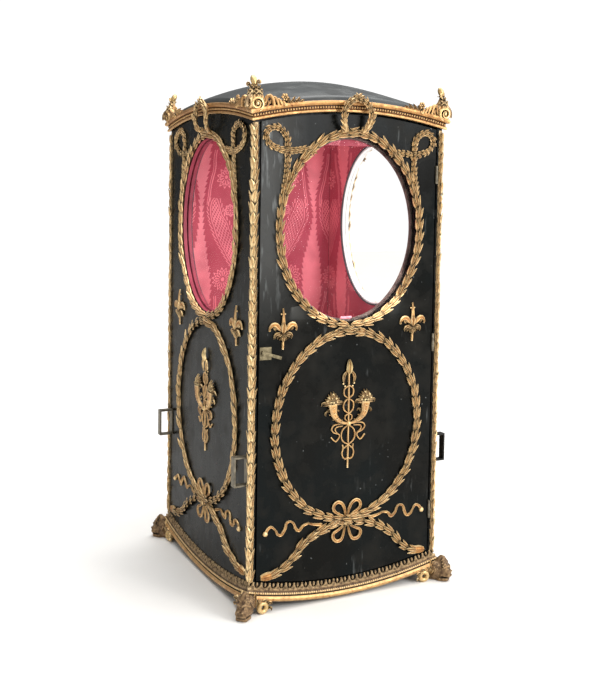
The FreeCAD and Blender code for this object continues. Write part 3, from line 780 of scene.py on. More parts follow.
class Carving:
    """A mesh that grows by lofts and sweeps, and ends as one named piece."""

    def __init__(self) -> None:
        """Start with an empty block."""
        self.mesh = bmesh.new()

    def loft(self, rings: Sequence[Sequence[Vector]], closed: bool = False) -> None:
        """Skin a row of rings, and cap the ends unless the row is closed.

        Args:
            rings: rings with the same number of points.
            closed: whether the last ring meets the first.
        """
        rows = [[self.mesh.verts.new(spot) for spot in ring] for ring in rings]
        if not closed:
            self.mesh.faces.new(rows[0])
            self.mesh.faces.new(rows[-1])
        for low, high in zip(rows, rows[1:] + rows[:1] if closed else rows[1:]):
            for near in range(len(low)):
                far = (near + 1) % len(low)
                self.mesh.faces.new((low[near], low[far], high[far], high[near]))

    def sweep(self, path: Sequence[Vector], section: Section | Sequence[Pair],
              outward: Vector = UP, closed: bool = False) -> None:
        """Carry a section along a path.

        Args:
            path: points of the path.
            section: outline of sideways and outward pairs, or a function of the share of the path.
            outward: direction that the outward side of the section keeps to.
            closed: whether the path comes back to its start.
        """
        count, rings = len(path), []
        for place, spot in enumerate(path):
            after = path[(place + 1) % count] if closed else path[min(place + 1, count - 1)]
            before = path[place - 1] if closed or place else path[0]
            along = (after - before).normalized()
            side = along.cross(outward).normalized()
            rise = side.cross(along)
            shape = section(place / max(count - 1, 1)) if callable(section) else section
            rings.append([spot + side * sideways + rise * height for sideways, height in shape])
        self.loft(rings, closed)

    def strap(self, knots: Marks, step: float, section: Section | Sequence[Pair], outward: Vector = UP) -> None:
        """Carry a section along a soft curve through knots, with a ring at every step."""
        self.sweep(smooth_path(knots, step), section, outward)

    def leaf(self, knots: Marks, width: float, height: float, step: float = 3.0,
             outward: Vector = UP, **shape: float) -> None:
        """Carve a leaf along a spine from its foot to its tip; shape is what else blade() takes."""
        self.strap(knots, step, blade(width, height, **shape), outward)

    def ball(self, centre: Sequence[float], radius: float, flat: float = 1.0, fineness: int = 2) -> None:
        """A berry or boss, flattened outward by flat."""
        bmesh.ops.create_icosphere(
            self.mesh, subdivisions=fineness, radius=radius,
            matrix=Matrix.Translation(Vector((*centre, 0.0)[:3])) @ Matrix.Diagonal((1, 1, flat, 1)))

    def volute(self, centre: Sequence[float], radius: float, turns: float, start: float, thick: float,
               height: float, outward: Vector = UP, across: Vector = ACROSS) -> None:
        """A scroll that winds in to an eye.

        Args:
            centre: place of the eye.
            radius: of the outer end.
            turns: how often it winds, below zero for clockwise.
            start: angle of the outer end from across, in degrees.
            thick: width of the band at its outer end.
            height: how far the band stands up.
            outward: axis of the scroll.
            across: direction of the angle zero.
        """
        middle = Vector((*centre, 0.0)[:3])
        other = outward.cross(across)
        steps = max(10, int(abs(turns) * 18))
        path = []
        for k in range(steps + 1):
            share = k / steps
            angle = radians(start) + share * turns * TURN
            reach = radius * (1 - share) ** 0.85 + thick * 0.35 * share
            path.append(middle + reach * (cos(angle) * across + sin(angle) * other) + outward * height * 0.25 * share)
        self.sweep(path, lambda t: dome(thick / 2 * (1 - 0.55 * t), height, height * 0.18), outward)
        lift = outward * height * 0.55
        self.ball(middle + lift, thick * 0.62, 1.0, 2)

    def mirror(self) -> None:
        """Carve the same on the other side of the middle."""
        copied = bmesh.ops.duplicate(self.mesh, geom=self.mesh.verts[:] + self.mesh.edges[:] + self.mesh.faces[:])
        for item in copied["geom"]:
            if isinstance(item, bmesh.types.BMVert):
                item.co.x = -item.co.x

    def done(self, name: str, place: Place) -> Mesh:
        """End the carving.

        Args:
            name: name of the mesh.
            place: takes a point in millimetres to its place in metres.

        Returns:
            The mesh, with its faces outward.
        """
        bmesh.ops.remove_doubles(self.mesh, verts=self.mesh.verts, dist=0.01)
        face_outward(self.mesh)
        for vert in self.mesh.verts:
            vert.co = place(vert.co)
        self.mesh.normal_update()
        return ended(self.mesh, name)

    def fit(self, name: str, place: Place, body: Body, finish: Finish, stands_for: str = "",
            crease: float = 42) -> Thing:
        """End the carving where place() takes it, and hang it as hang() does."""
        return hang(name, self.done(name, place), body, finish, stands_for, crease)


def hang(name: str, mesh: Mesh, body: Body, finish: Finish, stands_for: str = "", crease: float = 42) -> Thing:
    """Make a mesh a piece of the chair.

    Args:
        name: name of the piece.
        mesh: its finished mesh, in metres.
        body: what it rides on.
        finish: what it wears.
        stands_for: CAD node that it replaces, if any.
        crease: angle in degrees past which an edge is sharp.

    Returns:
        The piece.
    """
    piece = stand(name, mesh)
    mesh.materials.clear()
    mesh.materials.append(finish.material())
    mesh.shade_smooth()
    mesh.set_sharp_from_angle(angle=radians(crease))
    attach(piece, body.value)
    if stands_for:
        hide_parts(stands_for)
    LOG.info("%s: %d faces on %s", name, len(mesh.polygons), body.value)
    return piece


def row_tree() -> Tree:
    """Nodes that set an ornament along every line of a mesh, on a rod; made on first use.

    Returns:
        The tree.
    """
    title = "ornaments along a line"
    if title in bpy.data.node_groups:
        return bpy.data.node_groups[title]
    tree = bpy.data.node_groups.new(title, "GeometryNodeTree")
    for name, kind, value in (
            ("Lines", "Geometry", None), ("Ornament", "Object", None), ("Pitch", "Float", 37.0),
            ("Outward", "Vector", (0, 0, 1)), ("Sway", "Float", 0.1), ("Smallest", "Float", 0.9),
            ("Rod", "Float", 0.0), ("Seed", "Int", 7), ("Finish", "Material", None)):
        socket = tree.interface.new_socket(name, in_out="INPUT", socket_type="NodeSocket" + kind)
        if value is not None:
            socket.default_value = value
    tree.interface.new_socket("Row", in_out="OUTPUT", socket_type="NodeSocketGeometry")
    given = add(tree, "NodeGroupInput").outputs
    line = add(tree, "GeometryNodeMeshToCurve", {"Mesh": given["Lines"]}).outputs[0]
    spaced = add(tree, "GeometryNodeResampleCurve", {"Curve": line, "Length": given["Pitch"]}, mode="LENGTH")
    along = add(tree, "GeometryNodeInputTangent").outputs[0]
    facing = add(tree, "FunctionNodeAxesToRotation", {0: given["Outward"], 1: along},
                 primary_axis="Z", secondary_axis="Y").outputs[0]
    chance = add(tree, "FunctionNodeRandomValue", {0: (-1, -1, -1), 1: (1, 1, 1), "Seed": given["Seed"]},
                 data_type="FLOAT_VECTOR").outputs[0]
    swing = add(tree, "ShaderNodeVectorMath", {0: chance, "Scale": given["Sway"]}, operation="SCALE").outputs[0]
    turn = add(tree, "FunctionNodeEulerToRotation", {0: swing}).outputs[0]
    turned = add(tree, "FunctionNodeRotateRotation", {0: facing, 1: turn}, rotation_space="LOCAL").outputs[0]
    size = add(tree, "FunctionNodeRandomValue", {2: given["Smallest"], 3: 1.0, "Seed": given["Seed"]},
               data_type="FLOAT").outputs[1]
    ornament = add(tree, "GeometryNodeObjectInfo", {0: given["Ornament"]}).outputs["Geometry"]
    row = add(tree, "GeometryNodeInstanceOnPoints", {
        "Points": spaced.outputs[0], "Instance": ornament, "Rotation": turned, "Scale": size}).outputs[0]
    section = add(tree, "GeometryNodeCurvePrimitiveCircle", {"Resolution": 7, "Radius": given["Rod"]}).outputs[0]
    rod = add(tree, "GeometryNodeCurveToMesh", {"Curve": line, "Profile Curve": section, "Fill Caps": True})
    wanted = add(tree, "FunctionNodeCompare", {0: given["Rod"], 1: 0.01}, operation="GREATER_THAN").outputs[0]
    kept = add(tree, "GeometryNodeSwitch", {0: wanted, 2: rod.outputs[0]}, input_type="GEOMETRY").outputs[0]
    both = add(tree, "GeometryNodeJoinGeometry", {0: kept})
    tree.links.new(row, both.inputs[0])
    real = add(tree, "GeometryNodeRealizeInstances", {0: both.outputs[0]}).outputs[0]
    dressed = add(tree, "GeometryNodeSetMaterial", {0: real, "Material": given["Finish"]}).outputs[0]
    add(tree, "NodeGroupOutput", {0: dressed})
    return tree


def row(name: str, ornament: Carving, lines: Iterable[Sequence[Vector]], place: Place,
        body: Body, finish: Finish, stands_for: str = "", **sizes: object) -> None:
    """Set an ornament along lines by Geometry Nodes, and hang the plain mesh.

    Args:
        name: name of the piece.
        ornament: carving around its own middle, running along its second axis and facing up its third.
        lines: paths in millimetres, followed from their first point.
        place: takes a point in millimetres to its place in metres.
        body: what it rides on.
        finish: what it wears.
        stands_for: CAD node that it replaces, if any.
        sizes: named inputs of the tree.
    """
    spots, spans = [], []
    for line in lines:
        first = len(spots)
        spots.extend(line)
        spans.extend((k, k + 1) for k in range(first, len(spots) - 1))
    drawing = bpy.data.meshes.new(name + " lines")
    drawing.from_pydata(spots, spans, [])
    pattern = stand(name + " pattern", ornament.done(name + " pattern", Vector.copy))
    host = stand(name + " host", drawing)
    tool = host.modifiers.new("row", "NODES")
    tool.node_group = row_tree()
    wanted = {"Ornament": pattern, "Finish": finish.material(), **sizes}
    for socket in tool.node_group.interface.items_tree:
        if socket.in_out == "INPUT" and socket.name in wanted:
            tool[socket.identifier] = wanted[socket.name]
    made = finished(host)
    made.name = name
    for thing in (pattern, host):
        bpy.data.objects.remove(thing)
    for vertex in made.vertices:
        vertex.co = place(vertex.co)
    made.update()
    hang(name, made, body, finish, stands_for)


# ---- carved ornament of the walls ----


def laurel(long: float = 1.0, wide: float = 1.0, spread: float = 0.0) -> Carving:
    """Three laurel leaves, 57 mm long, that lie along the line with their tips lifted.

    Args:
        long: share of the full length.
        wide: share of the full width and height.
        spread: how far the side leaves' tips stand out beyond the band.

    Returns:
        The carving.
    """
    sprig = Carving()
    sprig.leaf(((0, -10, 3), (0.5, 12, 7.5), (-0.5, 32, 9), (0, 50, 11.5)), 14.5, 5.4, 8, point=0.9, sharp=0.95)
    for side in (-1, 1):
        sprig.leaf(((side * 2, -12, 2), (side * 7, 4, 5), (side * 10, 19, 7), (side * (15.5 + spread), 36, 9)),
                   13.5, 3.8, 8, Vector((side * 0.45, 0, 1)), point=0.8, sharp=0.9)
    bmesh.ops.scale(sprig.mesh, vec=(wide, long, wide), verts=sprig.mesh.verts)
    return sprig


@dataclass
class Garlands:
    """Laurel round the window and the lower panel of every wall, with loops, branches and a wreath."""

    window: Triple = (259.5, 311.75, SIGHT)
    panel: Triple = (267.0, 310.5, 575.5)
    pitch: float = 39.0
    rod: float = 6.0
    wreath: tuple[Triple, ...] = (
        (-32, 1531, 9), (-41, 1546, 22), (-49, 1565, 29), (-51, 1585, 29), (-45, 1606, 29), (-32, 1623, 29),
        (-15, 1633, 29), (-1, 1637, 29))
    front_loop: Outline = (
        (-246, 1330), (-240, 1370), (-234, 1431), (-235, 1471), (-236, 1501), (-252, 1527), (-279, 1538),
        (-301, 1529), (-309, 1509), (-296, 1485), (-270, 1470), (-236, 1464), (-202, 1467), (-168, 1471),
        (-150, 1466))
    side_loop: Outline = (
        (-246, 1330), (-241, 1375), (-232, 1430), (-226, 1490), (-232, 1532), (-270, 1550), (-312, 1534),
        (-314, 1500), (-285, 1476), (-250, 1466), (-212, 1464), (-176, 1471), (-152, 1468))
    front_branch: Outline = (
        (-274, 114), (-258, 118), (-229, 134), (-193, 168), (-175, 190), (-148, 209),
        (-113, 229), (-71, 244), (-22, 255))
    side_branch: Outline = ((-318, 126), (-257, 138), (-211, 161), (-170, 194), (-129, 217), (-72, 247), (-20, 258))

    def lines(self, wall: Wall) -> list[list[Vector]]:
        """Lines of a wall's garland; every one runs the way its leaves point.

        Args:
            wall: the wall.

        Returns:
            Paths in the wall's own millimetres.
        """
        front = wall is Wall.FRONT
        clear = 8 * (wall is Wall.RIGHT)
        halves = [ellipse(wide + clear, high + clear, (0, middle), 3, 177)
                  for wide, high, middle in (self.window, self.panel)]
        halves.append(smooth_path(self.front_branch if front else self.side_branch, 6))
        return [path for half in halves for path in (stood_off(half, 1.5), mirrored(stood_off(half, 1.5)))]

    def build(self) -> None:
        """Carve every wall's garland, and the wreaths of the front and the sides."""
        for number, wall in enumerate(Wall):
            word = "door" if wall is Wall.FRONT else wall.word
            loop = stood_off(smooth_path(self.front_loop if wall is Wall.FRONT else self.side_loop, 5), 0.5)
            strand = smooth_path(self.wreath, 5)
            rows = [("laurel_", laurel(), self.lines(wall), "garland_" + word, self.pitch, 0.13, 0.9, self.rod, 11),
                    ("loops_", laurel(0.46, 0.78, -1), (loop, mirrored(loop)), "", 16.0, 0.16, 0.86, 5.5, 21)]
            if wall is not Wall.BACK:
                rows.append(("wreath_", laurel(0.52, 0.86, 0), (strand, mirrored(strand)), "", 17.0, 0.2, 0.86, 6.5,
                             31))
            for title, leaves, lines, stands_for, pitch, sway, smallest, rod, seed in rows:
                row(title + word, leaves, lines, wall.place, wall.body, GILDING, stands_for, Pitch=pitch, Sway=sway,
                    Smallest=smallest, Rod=rod, Seed=seed + number)


@dataclass
class Knots:
    """Ribbon bow below the lower panel of every wall, with streamers that run to its corners."""

    band: float = 10.5
    rise: float = 4.2
    upper: Outline = (
        (-3, 262), (-7, 291), (-17, 313), (-32, 322), (-46, 317), (-51, 303), (-43, 290), (-28, 281), (-8, 267))
    lower: Outline = ((-6, 238), (-13, 210), (-23, 194), (-41, 194), (-52, 208), (-49, 221), (-35, 228), (-14, 239))
    front_streamer: Outline = (
        (-92, 255), (-125, 260), (-142, 265), (-160, 261), (-174, 246), (-188, 257), (-195, 273), (-206, 281),
        (-220, 276), (-226, 258), (-237, 241), (-251, 245), (-260, 261), (-274, 272), (-287, 265), (-295, 253))
    side_streamer: Outline = (
        (-100, 253), (-141, 266), (-160, 262), (-182, 250), (-192, 268), (-204, 281), (-220, 279), (-230, 262),
        (-241, 245), (-256, 252), (-268, 271), (-286, 268), (-303, 252))

    def tail(self, wall: Wall) -> list[Vector]:
        """Line of the stalks at the lower left end of the branches."""
        start, lean = ((-309, 112), 4) if wall is Wall.FRONT else ((-352, 124), 3)
        return [Vector((start[0] + along, start[1] + radians(lean) * along, 2.0)) for along in range(0, 46, 3)]

    def stalk(self, t: float) -> list[Pair]:
        """Section of the gathered stalks: four ribs that swell to the middle of the tail.

        Args:
            t: share of the tail's length.

        Returns:
            The outline there.
        """
        wide = 5 + 9 * sin(pi * (0.1 + 0.72 * t))
        high = 4.5 + 5.5 * sin(pi * (0.08 + 0.77 * t))
        ribs = [(wide * (k / 8 - 1), high * (1 - (k / 8 - 1) ** 2) ** 0.5 * (1 if k % 4 == 2 else 0.82))
                for k in range(1, 16)]
        return [(-wide, -1.5), *ribs, (wide, -1.5)]

    def carve(self, wall: Wall) -> Carving:
        """Carve the left half and mirror it.

        Args:
            wall: the wall.

        Returns:
            The carving.
        """
        work = Carving()
        half = self.band / 2

        def fold(t: float) -> Outline:
            """Ribbon that narrows where it is tied and at its end."""
            full = half * (0.62 + 0.38 * sin(pi * min(max(t, 0.0), 1.0)))
            return dome(full, self.rise, self.rise * 0.45)

        for number, knots in enumerate((self.upper, self.lower)):
            path = smooth_path(knots, 3.5)
            for place, spot in enumerate(path):
                share = place / (len(path) - 1)
                spot.z = 2.0 + 4.0 * sin(pi * share) + (2.5 * share if number else 0)
            work.sweep(path, fold)
        work.sweep(self.tail(wall), self.stalk)
        run = self.front_streamer if wall is Wall.FRONT else self.side_streamer
        path = smooth_path(run, 3.5)
        for place, spot in enumerate(path):
            spot.z = 1.5 + 1.6 * sin(place * 0.42)
        work.sweep(path, lambda t: dome(half * (0.55 + 0.4 * abs(cos(t * 9.5))), self.rise, self.rise * 0.4))
        work.ball((*run[-1], 3.5), 8.5, 0.8)
        work.mirror()
        work.ball((0, 251, 5), 12.5, 0.62, 3)
        for across in (-5, 0, 5):
            work.leaf(((across, 238, 9), (across * 1.3, 251, 13), (across, 264, 9)), 5.5, 2.0, 4)
        return work

    def build(self) -> None:
        """Carve a knot for every wall."""
        for wall in Wall:
            self.carve(wall).fit("ribbon_knot_" + wall.word, wall.place, wall.body, GILDING)


@dataclass
class Emblems:
    """A lily in each gap between the ovals, and a staff with two horns of plenty in the lower panel."""

    lily_height: float = 905
    front_lily: float = 242
    side_lily: float = 264

    def lily(self, work: Carving, across: float) -> None:
        """Carve a lily.

        Args:
            work: carving that gets it.
            across: its distance from the middle of the wall.
        """
        def at(u: float, z: float, out: float = 2.5) -> Triple:
            """Place on the wall from a place on the lily."""
            return across + u, self.lily_height + z, out

        work.leaf((at(0, -16, 3), at(0, 4, 7.5), at(0, 22, 8)), 23, 6.5, 3)
        work.strap((at(0, -4, 3), at(0, 26, 6), at(0, 50, 5), at(0, 65, 2.5)), 3,
                   lambda t: dome(8.0 - 6.2 * t, 6 - 2.5 * t, 1.2))
        work.strap((at(0, -34, 2.5), at(0, -50, 3), at(0, -65, 2)), 4, dome(3.4, 4))
        work.leaf((at(0, -14, 3), at(0, -30, 6), at(0, -44, 3)), 13, 5, 3)
        for side in (-1, 1):
            petal = [at(side * u, z, out) for u, z, out in (
                (3, -9, 3), (14, 2, 5.5), (26, 13, 6), (38, 13, 5), (46.5, 3, 4), (46, -6, 2.5))]
            work.strap(petal, 3, lambda t: dome(3.2 + 4.6 * sin(pi * min(t * 1.15, 1)) ** 0.8, 6 - 2.2 * t, 1.8))
            work.leaf([at(side * u, z, out) for u, z, out in ((29, 14, 5), (31, 4, 6), (24, -6, 3))], 9, 4, 3)
            work.ball(at(side * 6, 47, 4), 3.2, 0.9, 2)
            for knots, wide in ((((3, -14, 3), (17, -14, 6), (28, -19, 5), (30, -32, 2)), 11),
                                (((3, -15, 3), (12, -19, 6.5), (19, -24, 4), (17, -33, 2)), 9),
                                (((1, -17, 4), (6, -26, 6), (12, -36, 3)), 9)):
                work.leaf([at(side * u, z, out) for u, z, out in knots], wide, 5, 3)

    def staff(self, work: Carving) -> None:
        """Carve the ribbons, leaves and horn of the staff's right half.

        Args:
            work: carving that gets them.
        """
        work.leaf(((2, 750, 3), (13, 749, 5), (20, 736, 5), (19, 720, 4), (14, 712, 3)), 10, 4.5, 3)
        for across, height in ((20, 713), (14, 704)):
            work.ball((across, height, 3), 3.6, 0.9, 1)
        ribbon = dome(2.1, 3.2, 0.5)
        snake = [(0, 707, 6)]
        for top, low, wide in ((707, 664, 18), (664, 614, -19), (614, 588, 13)):
            high = top - low
            snake += [(wide * 0.8, top - high * 0.22, 4), (wide, top - high * 0.5, 3),
                      (wide * 0.8, low + high * 0.22, 3), (0, low, 6 if wide < 0 else 1.5)]
        for knots in (snake,
                      ((0, 576, 3), (19, 563, 3), (26, 543, 3), (19, 523, 3), (0, 511, 5), (-14, 500, 3)),
                      ((20, 511, 2), (18, 499, 3), (22, 484, 3), (18, 470, 3), (9, 463, 3), (0, 469, 4)),
                      ((21, 581, 3), (51, 580, 4), (62, 568, 4), (54, 555, 3), (33, 546, 4), (38, 531, 3),
                       (48, 525, 3), (63, 540, 2)),
                      ((21, 574, 2), (45, 571, 3), (48, 560, 3), (36, 548, 2))):
            work.strap(knots, 3, ribbon)
        horn = smooth_path(((4, 583, 4), (21, 585, 6), (43, 598, 8), (57, 617, 9), (62, 650, 8)), 3)
        work.sweep(horn, lambda t: dome(3.5 + 12 * t ** 1.25, 6.5 + 3.5 * t, 1.0))
        for share in (0.3, 0.5, 0.7, 0.88):
            spot = horn[int(share * (len(horn) - 1))]
            reach = 4.5 + 12 * share ** 1.25
            work.strap(((spot.x - reach, spot.y + reach * 0.5, 2), (spot.x, spot.y, spot.z + 9),
                        (spot.x + reach, spot.y - reach * 0.5, 2)), 4, dome(1.8, 2.0, 0.2))
        for angle in range(-10, 196, 18):
            turn = radians(angle)
            far = 33 + 3 * cos(4 * turn)
            tip = (62 + far * 0.95 * cos(turn), 652 + far * 1.12 * sin(turn))
            work.leaf(((62, 653, 7), ((62 + tip[0]) / 2, (654 + tip[1]) / 2 + 1, 10), (*tip, 4)), 8.5, 4, 4)
        for sign, across in ((1, 97), (-1, 28)):
            work.leaf(((62, 650, 6), ((62 + across) / 2, 655, 9), (across, 655, 6), (across + sign * 3, 644, 2)),
                      8, 4, 3)
        work.leaf(((72, 622, 4), (80, 627, 5), (86, 618, 3), (80, 611, 2)), 6, 3.5, 2.5)
        work.leaf(((47, 612, 4), (43, 624, 5), (36, 626, 3), (33, 619, 2)), 6, 3.5, 2.5)

    def build(self) -> None:
        """Carve the emblems of every wall."""
        for wall in Wall:
            work = Carving()
            self.staff(work)
            self.lily(work, self.front_lily if wall is Wall.FRONT else self.side_lily)
            work.mirror()
            work.strap(((0, 752, 2), (0, 590, 3), (0, 433, 2)), 12, dome(2.8, 4.2))
            work.fit("emblems_" + wall.word, wall.place, wall.body, GILDING)
            self.blossoms().fit("emblem_blossoms_" + wall.word, wall.place, wall.body, BURNISHED_HIGHLIGHT)

    def blossoms(self) -> Carving:
        """Blossoms in both horns, the bud on the staff and its boss, rubbed bright.

        Returns:
            The carving.
        """
        work = Carving()
        for across, height, radius in ((46, 657, 5.5), (58, 655, 6), (71, 656, 6), (81, 660, 5), (52, 668, 5),
                                       (65, 669, 5.5), (76, 672, 4.5), (60, 681, 4)):
            work.ball((across, height, 11), radius * 0.6, 1.0, 1)
            for aside, up in ring_of(5, radius * 0.7, turned=across):
                work.ball((across + aside, height + up, 10), radius * 0.45, 0.8, 1)
        work.mirror()
        work.leaf(((0, 746, 3), (0, 757, 6), (0, 772, 8), (0, 793, 4)), 23, 8, 3, point=0.75, sharp=0.6)
        work.ball((0, 581, 7), 8.5, 0.8, 3)
        return work


@dataclass
class CornerStrips:
    """Laurel up every corner post, folded round its arris."""

    low: float = 112
    high: float = 1546
    pitch: float = 34
    round_edge: float = 4

    def fold(self, x_sign: int, y_sign: int) -> Place:
        """Fold a flat strip round a corner.

        Args:
            x_sign: side of the chair that the corner is on.
            y_sign: -1 for the front.

        Returns:
            A function from across, up and out to the place in metres.
        """
        bend = self.round_edge * pi / 4
        pivot = Vector((x_sign * (HALF_X - self.round_edge), y_sign * (HALF_Y - self.round_edge), 0))
        middle = atan2(y_sign, x_sign)

        def place(spot: Vector) -> Vector:
            """Fold one point of the strip.

            Args:
                spot: millimetres across, up and out.

            Returns:
                Its place in metres.
            """
            bent = min(max(spot.x, -bend), bend)
            turn = middle + bent / self.round_edge
            outward = Vector((cos(turn), sin(turn), 0))
            along = Vector((-outward.y, outward.x, 0))
            return MM * (pivot + (self.round_edge + spot.z) * outward + (spot.x - bent) * along + spot.y * UP)
        return place

    def sprig(self) -> Carving:
        """A leaf with a lifted tip on each side of the arris and a small one on it, 28 mm wide.

        Returns:
            The carving.
        """
        work = Carving()
        work.leaf(((0, 2, 3), (0, 14, 5), (0, 26, 6), (0, 38, 8)), 6.5, 3.5, 8, point=0.9, sharp=0.95)
        for side in (-1, 1):
            work.leaf(((side * 2, -11, 1.5), (side * 5, 4, 4.5), (side * 6.5, 18, 5.5), (side * 13.5, 35, 7)),
                      10.5, 4, 8, Vector((side * 0.25, 0, 1)), point=0.85, sharp=0.85)
        return work

    def build(self) -> None:
        """Carve the four strips, and the ground that they lie on."""
        line = [Vector((0, height, 0)) for height in (self.low, self.high - 36)]
        outline = ((-11, -0.5), (-11, 1.0), (-7, 1.6), (-3, 2.2), (0, 2.4), (3, 2.2), (7, 1.6), (11, 1.0),
                   (11, -0.5), (6, -0.5), (0, -0.5), (-6, -0.5))
        for x_sign, y_sign, word in CORNERS:
            place = self.fold(x_sign, y_sign)
            row("corner_laurel_" + word, self.sprig(), (line,), place, Body.CHAIR, GILDING, Pitch=self.pitch,
                Sway=0.1, Smallest=0.9, Rod=0.0, Seed=3)
            ground = Carving()
            ground.loft([[Vector((across, height, out)) for across, out in outline]
                         for height in (104, 400, 700, 1000, 1300, 1549)])
            ground.fit("corner_ground_" + word, place, Body.CHAIR, DULL_GILDING, crease=30)


# ---- mouldings, feet and finials ----


def arched_line(wall: Wall, out: float, lift: float, rise: Edge, trim: float = 0.0, steps: int = 80) -> list[Vector]:
    """A line along an arched edge, at an offset out and up from it, and held back from the corners by trim."""
    reach = wall.half + out - trim
    return [Vector((reach * share, rise(reach * share, lift), out))
            for share in (2 * step / steps - 1 for step in range(steps + 1))]


def arched_strip(wall: Wall, section: Sequence[Pair], rise: Edge) -> Carving:
    """A moulding along an arched edge, mitred at both corners.

    Args:
        wall: the wall that it runs along.
        section: closed outline of outward and upward pairs.
        rise: height of the edge at a place across, for an upward offset.

    Returns:
        The carving.
    """
    work = Carving()
    work.loft(list(zip(*(arched_line(wall, out, lift, rise, steps=56) for out, lift in section))))
    return work


def pearls(name: str, radius: float, pitch: float, line: Sequence[Vector], wall: Wall, body: Body,
           finish: Finish) -> None:
    """A row of beads along a line.

    Args:
        name: name of the piece.
        radius: of a bead, in millimetres.
        pitch: distance between them.
        line: where their middles lie.
        wall: the wall that they are on.
        body: what they ride on.
        finish: what they wear.
    """
    bead = Carving()
    bead.ball((0, 0, 0), radius, 0.9, 2)
    row(name, bead, (line,), wall.place, body, finish, Pitch=pitch, Sway=0.0, Smallest=0.94)


@dataclass
class Cornice:
    """Gilt cornice under the roof: two bands with a row of beads between them."""

    section: Outline = (
        (5, 0), (9.5, 0), (12, 2), (12, 7), (9.5, 10), (8, 11), (8, 20), (13.5, 21), (17.5, 22.5), (19.4, 26),
        (20, 30), (19, 34.5), (16.5, 36), (-26, 36), (-26, 16.6), (5, 16.6))
    bead: float = 3.9
    bead_pitch: float = 9.5

    def build(self) -> None:
        """Carve the four runs, their beads and what stands on them."""
        for wall in Wall:
            word, shown = wall.word, wall in (Wall.FRONT, Wall.BACK)
            arched_strip(wall, self.section, wall.eaves).fit(
                "cornice_band_" + word, wall.place, Body.ROOF, SHADED_GILDING, "cornice_" + word, 30)
            pearls("cornice_beads_" + word, self.bead, self.bead_pitch, arched_line(wall, 9.5, 15.5, wall.eaves, 6),
                   wall, Body.ROOF, SHADED_GILDING)
            self.sprigs(wall).fit("cornice_sprigs_" + word, wall.place, Body.ROOF, SHADED_GILDING)
            curl = Carving()
            curl.volute((wall.half - 1, wall.eaves(wall.half - 1, 49), 12), 22, -1.6, 250, 11, 9)
            curl.mirror()
            # the curls on the front and back wear the paler burnished gilding, partly a painted highlight; those on the
            # sides wear the plain gilding
            curl.fit("cornice_curls_" + word, wall.place, Body.ROOF, BURNISHED_HIGHLIGHT if shown else GILDING)
            if shown:
                # a duller rim round each curl: painted shade on the outer turn of the scroll
                rim = Carving()
                arc = ellipse(29, 29, (wall.half + 1, wall.eaves(wall.half, 49)), -70, -255, 24)
                rim.sweep(stood_off(arc, 3), dome(6, 7))
                rim.mirror()
                rim.fit("cornice_rims_" + word, wall.place, Body.ROOF, DULL_GILDING)

    def sprigs(self, wall: Wall) -> Carving:
        """Leaves, a rosette and a sprig near each end of a run.

        Args:
            wall: the wall.

        Returns:
            The carving of both ends.
        """
        work = Carving()

        def at(inset: float, lift: float, out: float) -> Triple:
            """Place at a distance from the corner, above the cornice's lower edge."""
            across = wall.half - inset
            return across, wall.eaves(across, lift), out

        work.ball(at(1, 49, 3), 22, 0.25, 3)
        work.volute(at(29, 47, 8), 13, -1.3, 250, 7, 7)
        for k in range(4):
            top = 66 - 8 * k
            work.strap((at(30 + 14 * k, 44, 9), at(34 + 14 * k, top - 5, 13), at(43 + 14.5 * k, top - 1, 17),
                        at(52 + 14.5 * k, top - 13, 19), at(57 + 14 * k, 34, 17)), 4,
                       lambda t: dome(5.8 - 2 * abs(t - 0.5), 6, 0, 4))
        heart = at(94, 54, 16)
        work.leaf((at(88, 34, 12), at(90, 44, 15), heart), 8, 5, 3)
        work.leaf((at(102, 34, 12), at(99, 44, 15), heart), 8, 5, 3)
        for across, up in ring_of(6, 8):
            work.ball((heart[0] + across, heart[1] + up, heart[2] + 1), 5, 0.8, 2)
        work.ball((heart[0], heart[1], heart[2] + 2), 3, 0.9)
        for foot, tip, top in ((100, 110, 52), (108, 122, 44), (116, 128, 54), (126, 142, 46), (134, 146, 52),
                               (144, 162, 42)):
            work.leaf((at(foot, 33, 12), at((foot + tip) / 2, (35 + top) / 2, 18), at(tip, top, 15)), 9, 4.5, 3,
                      teeth=2, bite=0.25)
            work.ball(at(foot + 4, 38, 17), 3.4, 1.0, 1)
        work.mirror()
        return work


